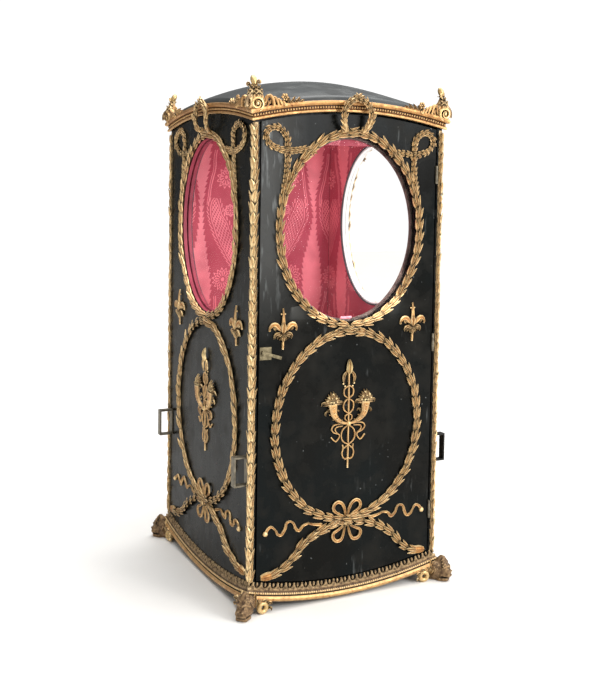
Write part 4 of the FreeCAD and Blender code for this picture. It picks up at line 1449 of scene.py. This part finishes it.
@dataclass
class BaseMoulding:
    """Hanging skirt under the walls: a torus, a row of pearls, and a gallery of pointed leaves."""

    section: Outline = (
        (0, 0), (9, 0), (14.5, 2), (17.3, 6), (18, 10), (16.5, 14.5), (13, 18), (9, 19.5), (9, 21), (12.5, 22),
        (13.5, 25), (12, 28), (9.5, 29), (8, 31), (8.5, 34), (7.5, 38), (5, 40), (0, 40))
    torus: Outline = ((9, 1.2), (14.2, 2.2), (17.5, 6), (18.4, 10), (17, 14.5), (13.5, 18), (9, 19))
    leaf_pitch: float = 28.5
    pearl: float = 3.4
    pearl_pitch: float = 8.0

    def build(self) -> None:
        """Carve the four runs."""
        for wall in Wall:
            word = wall.word
            arched_strip(wall, self.section, wall.skirt).fit(
                "skirt_band_" + word, wall.place, Body.CHAIR, DULL_GILDING, "base_moulding_" + word, 30)
            arched_strip(wall, self.torus, wall.skirt).fit(
                "skirt_torus_" + word, wall.place, Body.CHAIR, GILDING, crease=30)
            row("skirt_leaves_" + word, self.gallery(), (arched_line(wall, 4.0, 38, wall.skirt, 14),), wall.place,
                Body.CHAIR, DULL_GILDING, Pitch=self.leaf_pitch, Sway=0.0, Smallest=0.98)
            pearls("skirt_pearls_" + word, self.pearl, self.pearl_pitch, arched_line(wall, 11.5, 26, wall.skirt, 8),
                   wall, Body.CHAIR, GILDING)

    def gallery(self) -> Carving:
        """One pointed leaf of the gallery with the bud beside it, lying across the line.

        Returns:
            The carving.
        """
        prong = Carving()
        prong.sweep([Vector((-3.9 * k, 0, -2.5 + 1.4 * sin(k * 0.7))) for k in range(6)], lambda t: (
            [(side * (2.8 + 11.2 * (1 - t) ** 2.4), height) for side, height in (
                (-1, -1), (-0.9, 2.0), (-0.3, 3.6), (0.3, 3.6), (0.9, 2.0), (1, -1))]))
        prong.leaf(((10, 0, 0.5), (2, 0, 1.5), (-8, 0, 1)), 10, 3.0, 4)
        for side in (-1, 1):
            prong.leaf(((9, side * 4, 0), (5, side * 9, 1.5), (-1, side * 12, 0.5)), 6, 3.0, 4)
        prong.sweep([Vector((-4 - 2.2 * k, 14.25, -2.5)) for k in range(8)], lambda t: dome(
            0.4 + 3.3 * sin(pi * t) ** 0.7, 0.6 + 3.2 * sin(pi * t) ** 0.7))
        return prong


def diagonal(x_sign: int, y_sign: int, x_edge: float, y_edge: float) -> Place:
    """Place a corner piece, drawn with its second axis out along the corner's diagonal.

    Args:
        x_sign: side of the chair.
        y_sign: -1 for the front.
        x_edge: distance of the corner from the middle, in millimetres.
        y_edge: the same, fore and aft.

    Returns:
        A function from across, outward and up to the place in metres.
    """
    out = Vector((x_sign, y_sign, 0)).normalized()
    across = out.cross(UP)
    corner = Vector((x_sign * x_edge, y_sign * y_edge, 0))
    return lambda spot: MM * (corner + across * spot.x + out * spot.y + UP * spot.z)


@dataclass
class Feet:
    """Feet carved as a beast's head that looks out from the corner, between gilt scrolls."""

    cell: float = 1.5
    inset: float = 5.0
    scroll_inset: float = 42

    def head(self) -> Carving:
        """Carve the head along the diagonal: skull, muzzle and jaw as overlapping forms, then its features.

        Returns:
            The carving.
        """
        work = Carving()
        for levels in (
                ((1, -8, 30, 14, 12), (14, -4, 42, 21, 17), (27, 0, 57, 25, 19), (40, 2, 62, 24, 17),
                 (52, 4, 62, 21, 15), (62, 8, 57, 17, 12), (72, 16, 51, 13, 9), (80, 26, 47, 8, 6), (86, 32, 41, 4, 3)),
                ((18, 24, 64, 23, 19), (22, 24, 69, 24, 20), (31, 26, 71, 23, 18), (38, 30, 68, 19, 14),
                 (43, 36, 63, 15, 9)),
                ((1, 22, 58, 20, 17), (3, 20, 64, 23, 19), (9, 20, 66, 24, 19), (13, 22, 63, 22, 17))):
            rings = []
            for up, back, front, wide, narrow in levels:
                half = ((wide * 0.6, back), (wide, back * 0.7 + front * 0.3), (narrow, front - 5),
                        (narrow * 0.6, front - 0.5), (0, front))
                rings.append([Vector((-across, out, up)) for across, out in half]
                             + [Vector((across, out, up)) for across, out in half[-2::-1]])
            work.loft(rings)
        face = Vector((0, 0.9, 0.4))
        for side in (-1, 1):
            work.strap(((side * 1, 64, 43), (side * 6, 63, 51), (side * 14, 55, 52), (side * 22, 42, 44)), 3,
                       dome(3.4, 3.6, 0, 3), face)
            work.ball((side * 10, 60, 42), 4.0, 1.0, 2)
            work.ball((side * 7.5, 70, 33), 4.2, 0.8, 2)
            work.strap(((0, 71, 20), (side * 10, 69, 19), (side * 18, 58, 20), (side * 23, 40, 24)), 3,
                       dome(2.4, 2.6, 0, 2), face)
            for curl in range(3):
                work.volute((side * (17 - 3 * curl), 50 - 4 * curl, 58 + 8 * curl), 7.5 - curl, 1.2 * side, 90, 4, 4,
                            Vector((side * 0.7, 0.7, 0.2)).normalized(), UP)
            for lock in range(4):
                work.leaf(((side * 14, 34 - 5 * lock, 60 + 3 * lock), (side * 22, 26 - 5 * lock, 48 + 4 * lock),
                           (side * 25, 16 - 4 * lock, 30 + 6 * lock)), 11, 5, 3, Vector((side, 0.4, 0.3)), teeth=2)
            for crease in range(2):
                work.strap(((side * (3 + 4 * crease), 57 - 2 * crease, 62 + 3 * crease),
                            (side * (9 + 3 * crease), 53 - 3 * crease, 61 + 3 * crease),
                            (side * (15 + 2 * crease), 44 - 3 * crease, 56 + 4 * crease)), 3,
                           dome(1.8, 2.0, 0, 2), face)
        for tooth in range(-3, 4):
            work.ball((tooth * 5, 66 - abs(tooth), 15.5), 2.4, 1.2, 1)
        return work

    def scrolls(self, wall: Wall) -> Carving:
        """Gilt scrolls under both ends of a wall's base, with the leaves that they grow from.

        Args:
            wall: the wall.

        Returns:
            The carving.
        """
        work = Carving()
        across = wall.half - self.scroll_inset
        for foot, bend, tip, wide in (((26, 24), (31, 42), (25, 76), 15), ((14, 34), (20, 44), (8, 52), 12),
                                      ((2, 38), (-4, 46), (-14, 46), 12), ((-12, 30), (-24, 36), (-30, 28), 12),
                                      ((-16, 16), (-26, 18), (-28, 8), 10)):
            work.leaf(((across + foot[0], foot[1], 8), (across + bend[0], bend[1], 17), (across + tip[0], tip[1], 15)),
                      wide, 7, 3, point=0.8)
        work.strap(((across + 30, 52, 12), (across + 12, 45, 13), (across - 14, 44, 11), (across - 44, 47, 5)), 3,
                   lambda t: dome(8 - 5 * t, 9 - 4 * t, 1.5, 4))
        work.mirror()
        return work

    def ring(self, wall: Wall) -> Carving:
        """The bright scroll's end beside each foot, turned round a small hole.

        Args:
            wall: the wall.

        Returns:
            The carving.
        """
        work = Carving()
        loop = [Vector((wall.half - self.scroll_inset + 13 * sin(k * TURN / 28), 21 + 13 * cos(k * TURN / 28),
                        12 + 2 * sin(k * TURN / 28))) for k in range(28)]
        work.sweep(loop, ring_of(10, 8, 9.5), closed=True)
        work.mirror()
        return work

    def build(self) -> None:
        """Carve the four heads, and the scrolls of each wall."""
        for x_sign, y_sign, word in CORNERS:
            self.fuse(self.head().fit("foot_head_" + word, diagonal(x_sign, y_sign, HALF_X, HALF_Y - self.inset),
                                      Body.CHAIR, DULL_GILDING, "foot_" + word, 60))
        for wall in Wall:
            self.scrolls(wall).fit("foot_scrolls_" + wall.word, wall.place, Body.CHAIR, GILDING)
            self.ring(wall).fit("foot_rings_" + wall.word, wall.place, Body.CHAIR, BURNISHED_HIGHLIGHT)

    def fuse(self, piece: Thing) -> None:
        """Run the overlapping forms of a head into one smooth skin.

        Args:
            piece: the head.
        """
        skin = piece.modifiers.new("skin", "REMESH")
        skin.mode, skin.voxel_size, skin.use_smooth_shade = "VOXEL", self.cell * MM, True
        soft = piece.modifiers.new("soft", "SMOOTH")
        soft.factor, soft.iterations = 0.5, 2
        piece.data = finished(piece)
        LOG.info("%s: fused to %d faces", piece.name, len(piece.data.polygons))


@dataclass
class Finials:
    """A mound of acanthus over each corner, with a bud and curled sprouts above it."""

    base: float = 1588

    def carve(self) -> Carving:
        """Carve the mound and its sprouts along the diagonal.

        Returns:
            The carving.
        """
        work = Carving()
        rings = []
        for up, tip, half, middle, back in ((0, 9, 37, -27, -62), (20, 8, 29, -22, -50), (36, 6, 20, -14, -36),
                                            (46, 4, 13, -9, -25), (58, 2, 8, -6, -17), (68, 1, 6, -5, -13),
                                            (76, 0, 5, -5, -10)):
            outline = ((0, tip), (half * 0.55, tip * 0.5 + middle * 0.5), (half, middle),
                       (half * 0.6, middle * 0.5 + back * 0.5), (0, back))
            whole = [*outline, *((-across, along) for across, along in outline[-2:0:-1])]
            rings.append([Vector((across, along, self.base + up)) for across, along in whole])
        work.loft(rings)
        for count, far, up, tall, wide in ((4, 18, 24, 24, 24), (4, 17, 42, 17, 20), (4, 10, 58, 12, 13)):
            for k in range(count):
                turn = radians(-75 + 150 * k / (count - 1) + 90)
                ray = Vector((cos(turn), sin(turn), 0))
                foot = Vector((0, -6, self.base + up)) + ray * (far - 4)
                work.leaf((foot, foot + ray * 4 + UP * tall * 0.6, foot + ray * 6 + UP * tall,
                           foot + ray * 12 + UP * tall * 0.88), wide, 7, 3, ray + UP * 0.3, teeth=3, bite=0.3)
        stem = Vector((5, -4, self.base + 70))
        for side, up in ((-1, 0), (1, -6)):
            bend = stem + Vector((side * 10, 3, up + 5))
            tip = stem + Vector((side * 17, 2, up + 14))
            work.leaf((stem - UP * 8, bend, tip), 8, 4, 3, Vector((0, 1, 0.6)))
            work.volute(tip, 6.5, -1.2 * side, 90, 4.5, 5, AHEAD, ACROSS)
        for ray in (Vector((*spot, 0)) for spot in ring_of(5, 1, turned=0.9)):
            work.leaf((stem, stem + ray * 8 + UP * 4, stem + ray * 13 + UP * 8), 10, 4, 3, ray + UP * 0.8)
        return work

    def bud(self) -> Carving:
        """Egg on a short neck, leaning to one side.

        Returns:
            The carving.
        """
        work = Carving()
        rings = []
        for wide, up in ((4, 64), (6, 73), (8.5, 79), (10.4, 85), (10.8, 91), (9.6, 97), (6.8, 102), (2.5, 105)):
            lean = (up - 62) / 40
            rings.append([Vector((across + 10 * lean, along - 8 * lean, self.base + up))
                          for across, along in ring_of(16, wide)])
        work.loft(rings)
        return work

    def build(self) -> None:
        """Carve the four finials."""
        for x_sign, y_sign, word in CORNERS:
            place = diagonal(x_sign, y_sign, HALF_X, HALF_Y)
            self.carve().fit("finial_" + word, place, Body.ROOF, GILDING, "roof_finial_" + word)
            self.bud().fit("finial_bud_" + word, place, Body.ROOF, BURNISHED_HIGHLIGHT)


# ---- roof, silk and seat ----


def cloth_map(mesh: Mesh, flat: Callable[[Vector], Pair]) -> None:
    """Give a mesh its cloth coordinates, by a function from a place in metres to the flat cloth."""
    layer = mesh.uv_layers.get("cloth") or mesh.uv_layers.new(name="cloth")
    for corner in mesh.loops:
        layer.data[corner.index].uv = flat(mesh.vertices[corner.vertex_index].co)


@dataclass
class RoofCover:
    """Crowned roof board under glued leather, with soft creases in the hide."""

    half_x: float = 357
    half_y: float = 391.5
    level: float = 1590
    crown: float = 40
    thick: float = 12
    edge: float = 9
    spans: int = 72

    def under(self, x: float, y: float) -> float:
        """Height of the underside."""
        u, v = 1 - (x / self.half_x) ** 2, 1 - (y / self.half_y) ** 2
        return self.level + self.crown * (u + v + u * v)

    def over(self, x: float, y: float) -> float:
        """Height of the leather, which thins to a rounded edge.

        Args:
            x: place across, in millimetres.
            y: place fore and aft.

        Returns:
            Millimetres above the ground.
        """
        inset = min(self.half_x - abs(x), self.half_y - abs(y)) / self.edge
        share = max(0.0, 1 - inset)
        return (self.under(x, y) + 2 + (self.thick - 2) * sqrt(max(0.0, 1 - share * share))
                + self.crease(x, y) * min(1.0, inset / 4))

    def crease(self, x: float, y: float) -> float:
        """Height that the hide's creases add to the top.

        Args:
            x: place across, in millimetres.
            y: place fore and aft.

        Returns:
            Millimetres.
        """
        spot = Vector((x, y, 0)) * 0.004
        slow = noise.noise(spot * 1.3 + Vector((3.1, 0.4, 2.0))) * 2.2
        folds = 0.0
        for lean, shift, wide in ((0.62, -95, 26), (0.55, 40, 20), (0.7, 170, 30)):
            off = (x * lean + y - shift + 22 * noise.noise(spot * 2)) / wide
            folds += 2.4 * exp(-off * off) - 1.2 * exp(-(off - 1.1) ** 2 * 2)
        return slow + folds - 1.5

    def build(self) -> None:
        """Make the cover as one closed skin."""
        work = bmesh.new()
        last = self.spans
        steps = (2 * k / last - 1 for k in range(last + 1))
        # closer together towards the edges, where the leather rolls over
        marks = [sin(pi / 2 * step) * 0.35 + step * 0.65 for step in steps]
        above, below = ([[work.verts.new(Vector((a * self.half_x, b * self.half_y, height(
            a * self.half_x, b * self.half_y))) * MM) for a in marks] for b in marks]
            for height in (self.over, self.under))
        for sheet in (above, below):
            for near, far in zip(sheet, sheet[1:]):
                for k in range(last):
                    work.faces.new((near[k], near[k + 1], far[k + 1], far[k]))
        rim = [(0, k) for k in range(last)] + [(k, last) for k in range(last)]
        rim += [(last, k) for k in range(last, 0, -1)] + [(k, 0) for k in range(last, 0, -1)]
        for (a, b), (c, d) in zip(rim, rim[1:] + rim[:1]):
            work.faces.new((above[a][b], above[c][d], below[c][d], below[a][b]))
        face_outward(work)
        hang("roof_cover", ended(work, "roof_cover"), Body.ROOF, ROOF_LEATHER, "roof_shell", 50)


@dataclass(frozen=True)
class Panel:
    """A piece of wall silk: its flat frame and its corners in millimetres, and whether a window pierces it."""

    name: str
    origin: Triple
    across: Triple
    low: Pair
    high: Pair
    wall: Wall
    pierced: bool


@dataclass
class Lining:
    """Crimson damask stretched over the inside of the walls and the roof."""

    thick: float = 1.2
    ripple: float = 1.3
    taut: float = 40    # width along the edges where the ripple dies away
    cord: float = 3.2
    bead: Pair = (245.7, 297.95)
    panels: tuple[Panel, ...] = (
        Panel("left", (-315.2, 0, 0), (0, 1, 0), (-318, 132), (349, 1545), Wall.LEFT, True),
        Panel("right", (315.2, 0, 0), (0, -1, 0), (-349, 132), (318, 1545), Wall.RIGHT, True),
        Panel("back", (0, 349.7, 0), (1, 0, 0), (-314.6, 132), (314.6, 1545), Wall.BACK, False),
        Panel("door", (0, -349.7, 0), (-1, 0, 0), (-311, 122), (311, 1488), Wall.FRONT, True),
    )

    def skin(self, name: str, body: Body, rows: Sequence[Sequence[Vector]], inward: Vector, closed: bool,
             flat: Callable[[Vector], Pair]) -> Thing:
        """Make a sheet of silk from rows of points.

        Args:
            name: name of the piece.
            body: what it rides on.
            rows: rows of points in millimetres.
            inward: direction that its face turns to.
            closed: whether the last row meets the first.
            flat: takes a point in metres to its place on the flat cloth.

        Returns:
            The piece.
        """
        work = bmesh.new()
        made = [[work.verts.new(spot * MM) for spot in row] for row in rows]
        for near, far in zip(made, made[1:] + (made[:1] if closed else [])):
            for k in range(len(near) - 1):
                work.faces.new((near[k], near[k + 1], far[k + 1], far[k]))
        face_outward(work)
        if sum(face.normal.dot(inward) for face in work.faces) < 0:
            bmesh.ops.reverse_faces(work, faces=work.faces)
        mesh = ended(work, name)
        cloth_map(mesh, flat)
        thin = stand(name + " thin", mesh)
        thick = thin.modifiers.new("thick", "SOLIDIFY")
        thick.thickness, thick.offset = self.thick * MM, -1
        mesh = finished(thin)
        bpy.data.objects.remove(thin)
        return hang(name, mesh, body, DAMASK)

    def sheet(self, panel: Panel) -> None:
        """Args:
            panel: which piece.
        """
        origin, across = Vector(panel.origin), Vector(panel.across)
        inward = across.cross(UP)
        (left, low), (right, high) = panel.low, panel.high
        if panel.pierced:
            rows, spokes, spans = [], 128, 14
            for step in range(spokes):
                ray = (cos(TURN * step / spokes), sin(TURN * step / spokes))
                reach = min(abs((right if ray[0] > 0 else left) / (ray[0] or 1e-9)),
                            abs(((high if ray[1] > 0 else low) - SIGHT) / (ray[1] or 1e-9)))
                near = (OPENING[0] * ray[0], OPENING[1] * ray[1])
                rows.append([(near[0] + (reach * ray[0] - near[0]) * k / spans,
                              SIGHT + near[1] + (reach * ray[1] - near[1]) * k / spans, k / spans)
                             for k in range(spans + 1)])
        else:
            rows = [[(left + (right - left) * k / 40, low + (high - low) * line / 60, line / 60) for k in range(41)]
                    for line in range(61)]

        def settle(a: float, b: float, share: float) -> Vector:
            """Lift the top edge to the arch of the wall, and let the silk ripple.

            Args:
                a: place across the cloth, in millimetres.
                b: place up it.
                share: how near it is to the top edge.

            Returns:
                Its place in the frame, in millimetres.
            """
            rest = min(a - left, right - a, b - low, high - b, self.taut) / self.taut
            off = self.ripple * rest * (noise.noise(Vector((a * 0.018, b * 0.0025, origin.x))) + 0.6)
            if panel.wall is not Wall.FRONT and b > SIGHT:
                b += (panel.wall.eaves(a, -8) - high) * share ** 2
            return origin + across * a + UP * b + inward * off

        piece = self.skin("lining_" + panel.name, panel.wall.body, [[settle(*spot) for spot in row] for row in rows],
                          inward, panel.pierced, lambda spot: (spot.dot(across), spot.z))
        arch = 38 * (panel.wall is not Wall.FRONT)
        size = ((right - left) * MM, (high + arch - low) * MM)
        area = size[0] * size[1] * 0.99 - (pi * OPENING[0] * OPENING[1] * MM * MM if panel.pierced else 0)

    def ceiling(self) -> None:
        """Line the underside of the roof."""
        cover = RoofCover()
        rows = [[Vector((x, y, cover.under(x, y) - 2.0)) for x in (312 * (a / 20 - 1) for a in range(41))]
                for y in (345 * (b / 20 - 1) for b in range(41))]
        piece = self.skin("lining_ceiling", Body.ROOF, rows, -UP, False, lambda spot: (spot.x, spot.y))

    def trim(self) -> None:
        """Sew a cord round every window, line the sides of the openings, and fit the pull tab."""
        for wall, reveal in ((Wall.FRONT, None), (Wall.LEFT, SHADED_SILK), (Wall.RIGHT, PALE_LIT)):
            for title, sizes, out, section, finish in (
                    ("window_cord_", OPENING, -32.6, ring_of(8, self.cord), PIPING),
                    ("window_reveal_", self.bead, -7, ((-0.6, -6.4), (0.6, -6.4), (0.6, 6.2), (-0.6, 6.2)), reveal)):
                if finish:
                    ring = Carving()
                    ring.sweep(stood_off(ellipse(*sizes, (0, SIGHT), 0, 360, 120)[:-1], out), section, closed=True)
                    ring.fit(title + wall.word, wall.place, wall.body, finish)
        tab = Carving()
        tab.sweep([Vector((across, 924.5, -23.5)) for across in (-21, -20, 0, 20, 21)],
                  lambda t: [(a * (0.8 if t in (0, 1) else 1), b) for a, b in (
                      (-6.5, -1.2), (-6.5, 1.0), (-4, 1.8), (4, 1.8), (6.5, 1.0), (6.5, -1.2))])
        tab.fit("pull_tab", Wall.FRONT.place, Body.DOOR, RIBBON)

    def build(self) -> None:
        """Line the walls."""
        for panel in self.panels:
            self.sheet(panel)
        self.ceiling()
        self.trim()


@dataclass
class Cushion:
    """Seat cushion in the same damask, stuffed with hair and crowned."""

    cell: float = 6
    edge: float = 14    # width of the rounded edges
    inset: float = 9    # how much smaller the block is at each side
    swell: float = 8    # how much lower it is, and how far the silk may rise past the box
    cap: float = 24    # how far any point may move
    pressure: float = 4
    frames: int = 20

    def build(self) -> None:
        """Swell the cushion from a smaller block, and keep it inside the box of its CAD node."""
        low, high = (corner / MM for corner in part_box("seat_cushion"))
        cushion = self.block(low, high)
        start = cushion.data
        rest = [vert.co.copy() for vert in start.vertices]
        moved = self.swollen(cushion)
        floor, top = low.z + 0.4, high.z + self.swell
        for vert, before, after in zip(start.vertices, rest, moved):
            shift = after - before
            if shift.length > self.cap * MM:
                shift *= self.cap * MM / shift.length
            spot = before + shift
            for axis, edge_low, edge_high in ((0, low.x, high.x), (1, low.y, high.y), (2, floor, top)):
                spot[axis] = min(max(spot[axis], edge_low * MM), edge_high * MM)
            vert.co = spot
        finer = cushion.modifiers.new("finer", "SUBSURF")
        finer.levels = finer.render_levels = 1
        made = finished(cushion)
        bpy.data.objects.remove(cushion)
        cloth_map(made, lambda spot: (spot.x, spot.y + spot.z))
        hang("seat_cushion_silk", made, Body.CHAIR, DAMASK, "seat_cushion", 80)

    def block(self, low: Vector, high: Vector) -> Thing:
        """Make the block that the cushion swells from, in an even net.

        Args:
            low: lowest corner of the cushion's box, in millimetres.
            high: highest corner.

        Returns:
            The block, as an object.
        """
        work = bmesh.new()
        inset = Vector((self.inset, self.inset, self.swell))
        small_low, small_high = low + inset, high - inset
        small_low.z = low.z + 1
        bmesh.ops.create_cube(work, size=1)
        for vert in work.verts:
            vert.co = Vector(small_low[k] + (vert.co[k] + 0.5) * (small_high[k] - small_low[k]) for k in range(3)) * MM
        bmesh.ops.bevel(work, geom=work.edges, offset=self.edge * MM, segments=4, profile=0.5, affect="EDGES")
        block = stand("seat_cushion_silk", ended(work, "seat_cushion_silk"))
        net = block.modifiers.new("net", "REMESH")
        net.mode, net.voxel_size = "VOXEL", self.cell * MM
        block.data = finished(block)
        return block

    def swollen(self, block: Thing) -> list[Vector]:
        """Swell the block as cloth under pressure.

        Args:
            block: the block.

        Returns:
            The new places of its points.
        """
        cloth = block.modifiers.new("cloth", "CLOTH")
        cloth.settings.use_pressure = True
        cloth.settings.uniform_pressure_force = self.pressure
        cloth.settings.effector_weights.gravity = 0
        scene = bpy.context.scene
        for number in range(1, self.frames + 1):
            scene.frame_set(number)
        shown = block.evaluated_get(bpy.context.evaluated_depsgraph_get())
        moved = [vert.co.copy() for vert in shown.data.vertices]
        block.modifiers.clear()
        scene.frame_set(1)
        return moved


# ---- what keeps the frame's own shape, and the studio ----


# finish of each slot of the record, for the nodes that stay as the frame has them
FRAME_FINISHES = {
    "black_leather": LEATHER, "floor_wood": OAK, "window_glass": GLASS, "window_bead": PALE_LIT,
    "crimson_damask": PLAIN_SILK, "gilt_wood": GILDING, "dull_gilt": DULL_GILDING, "iron": IRON,
    "latch_brass": BRASS}
# nodes that differ from the rest of their slot
ODD_FINISHES = {
    "door_panel": DOOR_LEATHER, "side_window_bead_left": SHADED_SILK, "door_window_bead": BROWN,
    "pole_bracket_front_right": SHADED_IRON, "pole_bracket_rear_right": SHADED_IRON}


def dress_frame() -> None:
    """Give the frame's own nodes their finishes, by the slots of the record."""
    for name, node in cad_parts.items():
        for held in node.material_slots:
            slot = next((key for key in FRAME_FINISHES if held.material and held.material.name.startswith(key)), None)
            if slot:
                held.material = ODD_FINISHES.get(name, FRAME_FINISHES[slot]).material()
            else:
                LOG.info("%s keeps %s", name, held.material and held.material.name)


@dataclass
class Studio:
    """White floor, soft lamps and the camera, with its heading and tilt in degrees and its roll in radians."""

    place: Triple = (-1.5833, -3.1464, 1.3491)
    heading: float = 26.83
    tilt: float = 3.5
    roll: float = 0.015
    lens: float = 51.34
    shift: float = -0.1396

    def camera(self) -> None:
        """Stand the camera."""
        yaw, tilt = radians(self.heading), radians(self.tilt)
        ahead = Vector((sin(yaw) * cos(tilt), cos(yaw) * cos(tilt), -sin(tilt)))
        right = ahead.cross(UP).normalized()
        above = right.cross(ahead)
        turned = cos(self.roll) * right + sin(self.roll) * above
        upright = cos(self.roll) * above - sin(self.roll) * right
        eye = bpy.data.cameras.new("camera")
        eye.lens, eye.shift_y, eye.clip_start = self.lens, self.shift, 0.05
        tripod = stand("camera", eye)
        tripod.matrix_world = Matrix((
            (turned.x, upright.x, -ahead.x, self.place[0]), (turned.y, upright.y, -ahead.y, self.place[1]),
            (turned.z, upright.z, -ahead.z, self.place[2]), (0, 0, 0, 1)))
        bpy.context.scene.camera = tripod

    def lamp(self, name: str, spot: Sequence[float], aim: Sequence[float], size: Pair, power: float) -> Thing:
        """Hang a soft rectangular lamp.

        Args:
            name: its name.
            spot: its place in metres.
            aim: where it points.
            size: width and height in metres.
            power: watts.

        Returns:
            The lamp.
        """
        light = bpy.data.lights.new(name, "AREA")
        light.shape, light.size, light.size_y, light.energy = "RECTANGLE", *size, power
        holder = stand(name, light)
        holder.matrix_world = (Matrix.Translation(Vector(spot))
                               @ (Vector(aim) - Vector(spot)).to_track_quat("-Z", "Y").to_matrix().to_4x4())
        return holder

    def build(self) -> None:
        """Set up the studio."""
        sheet = bpy.data.meshes.new("floor")
        sheet.from_pydata([(x, y, 0) for x, y in ((-15, -15), (15, -15), (15, 15), (-15, 15))], [], [(0, 1, 2, 3)])
        sheet.materials.append(FLOOR.material())
        stand("floor", sheet)
        world = bpy.data.worlds.new("studio")
        world.use_nodes = True
        sky = world.node_tree
        seen = add(sky, "ShaderNodeLightPath").outputs["Is Camera Ray"]
        strength = add(sky, "ShaderNodeMapRange", {"Value": seen, "To Min": 0.28, "To Max": 1.1}).outputs[0]
        feed(sky, sky.nodes["Background"], {"Strength": strength, "Color": "#ffffff"})
        bpy.context.scene.world = world
        self.lamp("key", (2.4, -4.2, 2.6), (0, 0, 0.9), (1.4, 2.0), 80)
        self.lamp("side", (-3.6, -1.6, 2.2), (0, 0, 0.9), (1.2, 2.4), 11)
        self.lamp("sheen", (1.25, -3.6, 1.65), (-0.3, 0, 1.3), (0.5, 1.5), 30)
        self.lamp("top", (0.2, 0.4, 4.2), (0, 0, 0.8), (2.5, 2.5), 60)
        # light that falls in through the windows
        for name, spot, aim, power in (("through door", (0, -0.33, 1.18), (0.05, 0.8, 0.85), 2.3),
                                       ("through side", (-0.29, 0, 1.18), (0.8, 0.3, 0.8), 0.8)):
            self.lamp(name, spot, aim, (0.42, 0.52), power).visible_camera = False
        overhead = bpy.data.lights.new("overhead", "SUN")
        overhead.energy, overhead.angle = 3.6, radians(110)
        stand("overhead", overhead).rotation_euler = (radians(14), radians(24), 0)
        self.camera()
        bpy.context.scene.view_settings.view_transform = "Standard"


def main() -> None:
    """Build the chair's parts in order, and report each one."""
    logging.basicConfig(level=logging.INFO, format="%(message)s")
    dress_frame()
    for part in (Garlands(), Knots(), Emblems(), CornerStrips(), Cornice(), BaseMoulding(), Feet(), Finials(),
                 RoofCover(), Lining(), Cushion(), Studio()):
        LOG.info("%s", type(part).__name__)
        part.build()


if __name__ == "__main__":
    main()
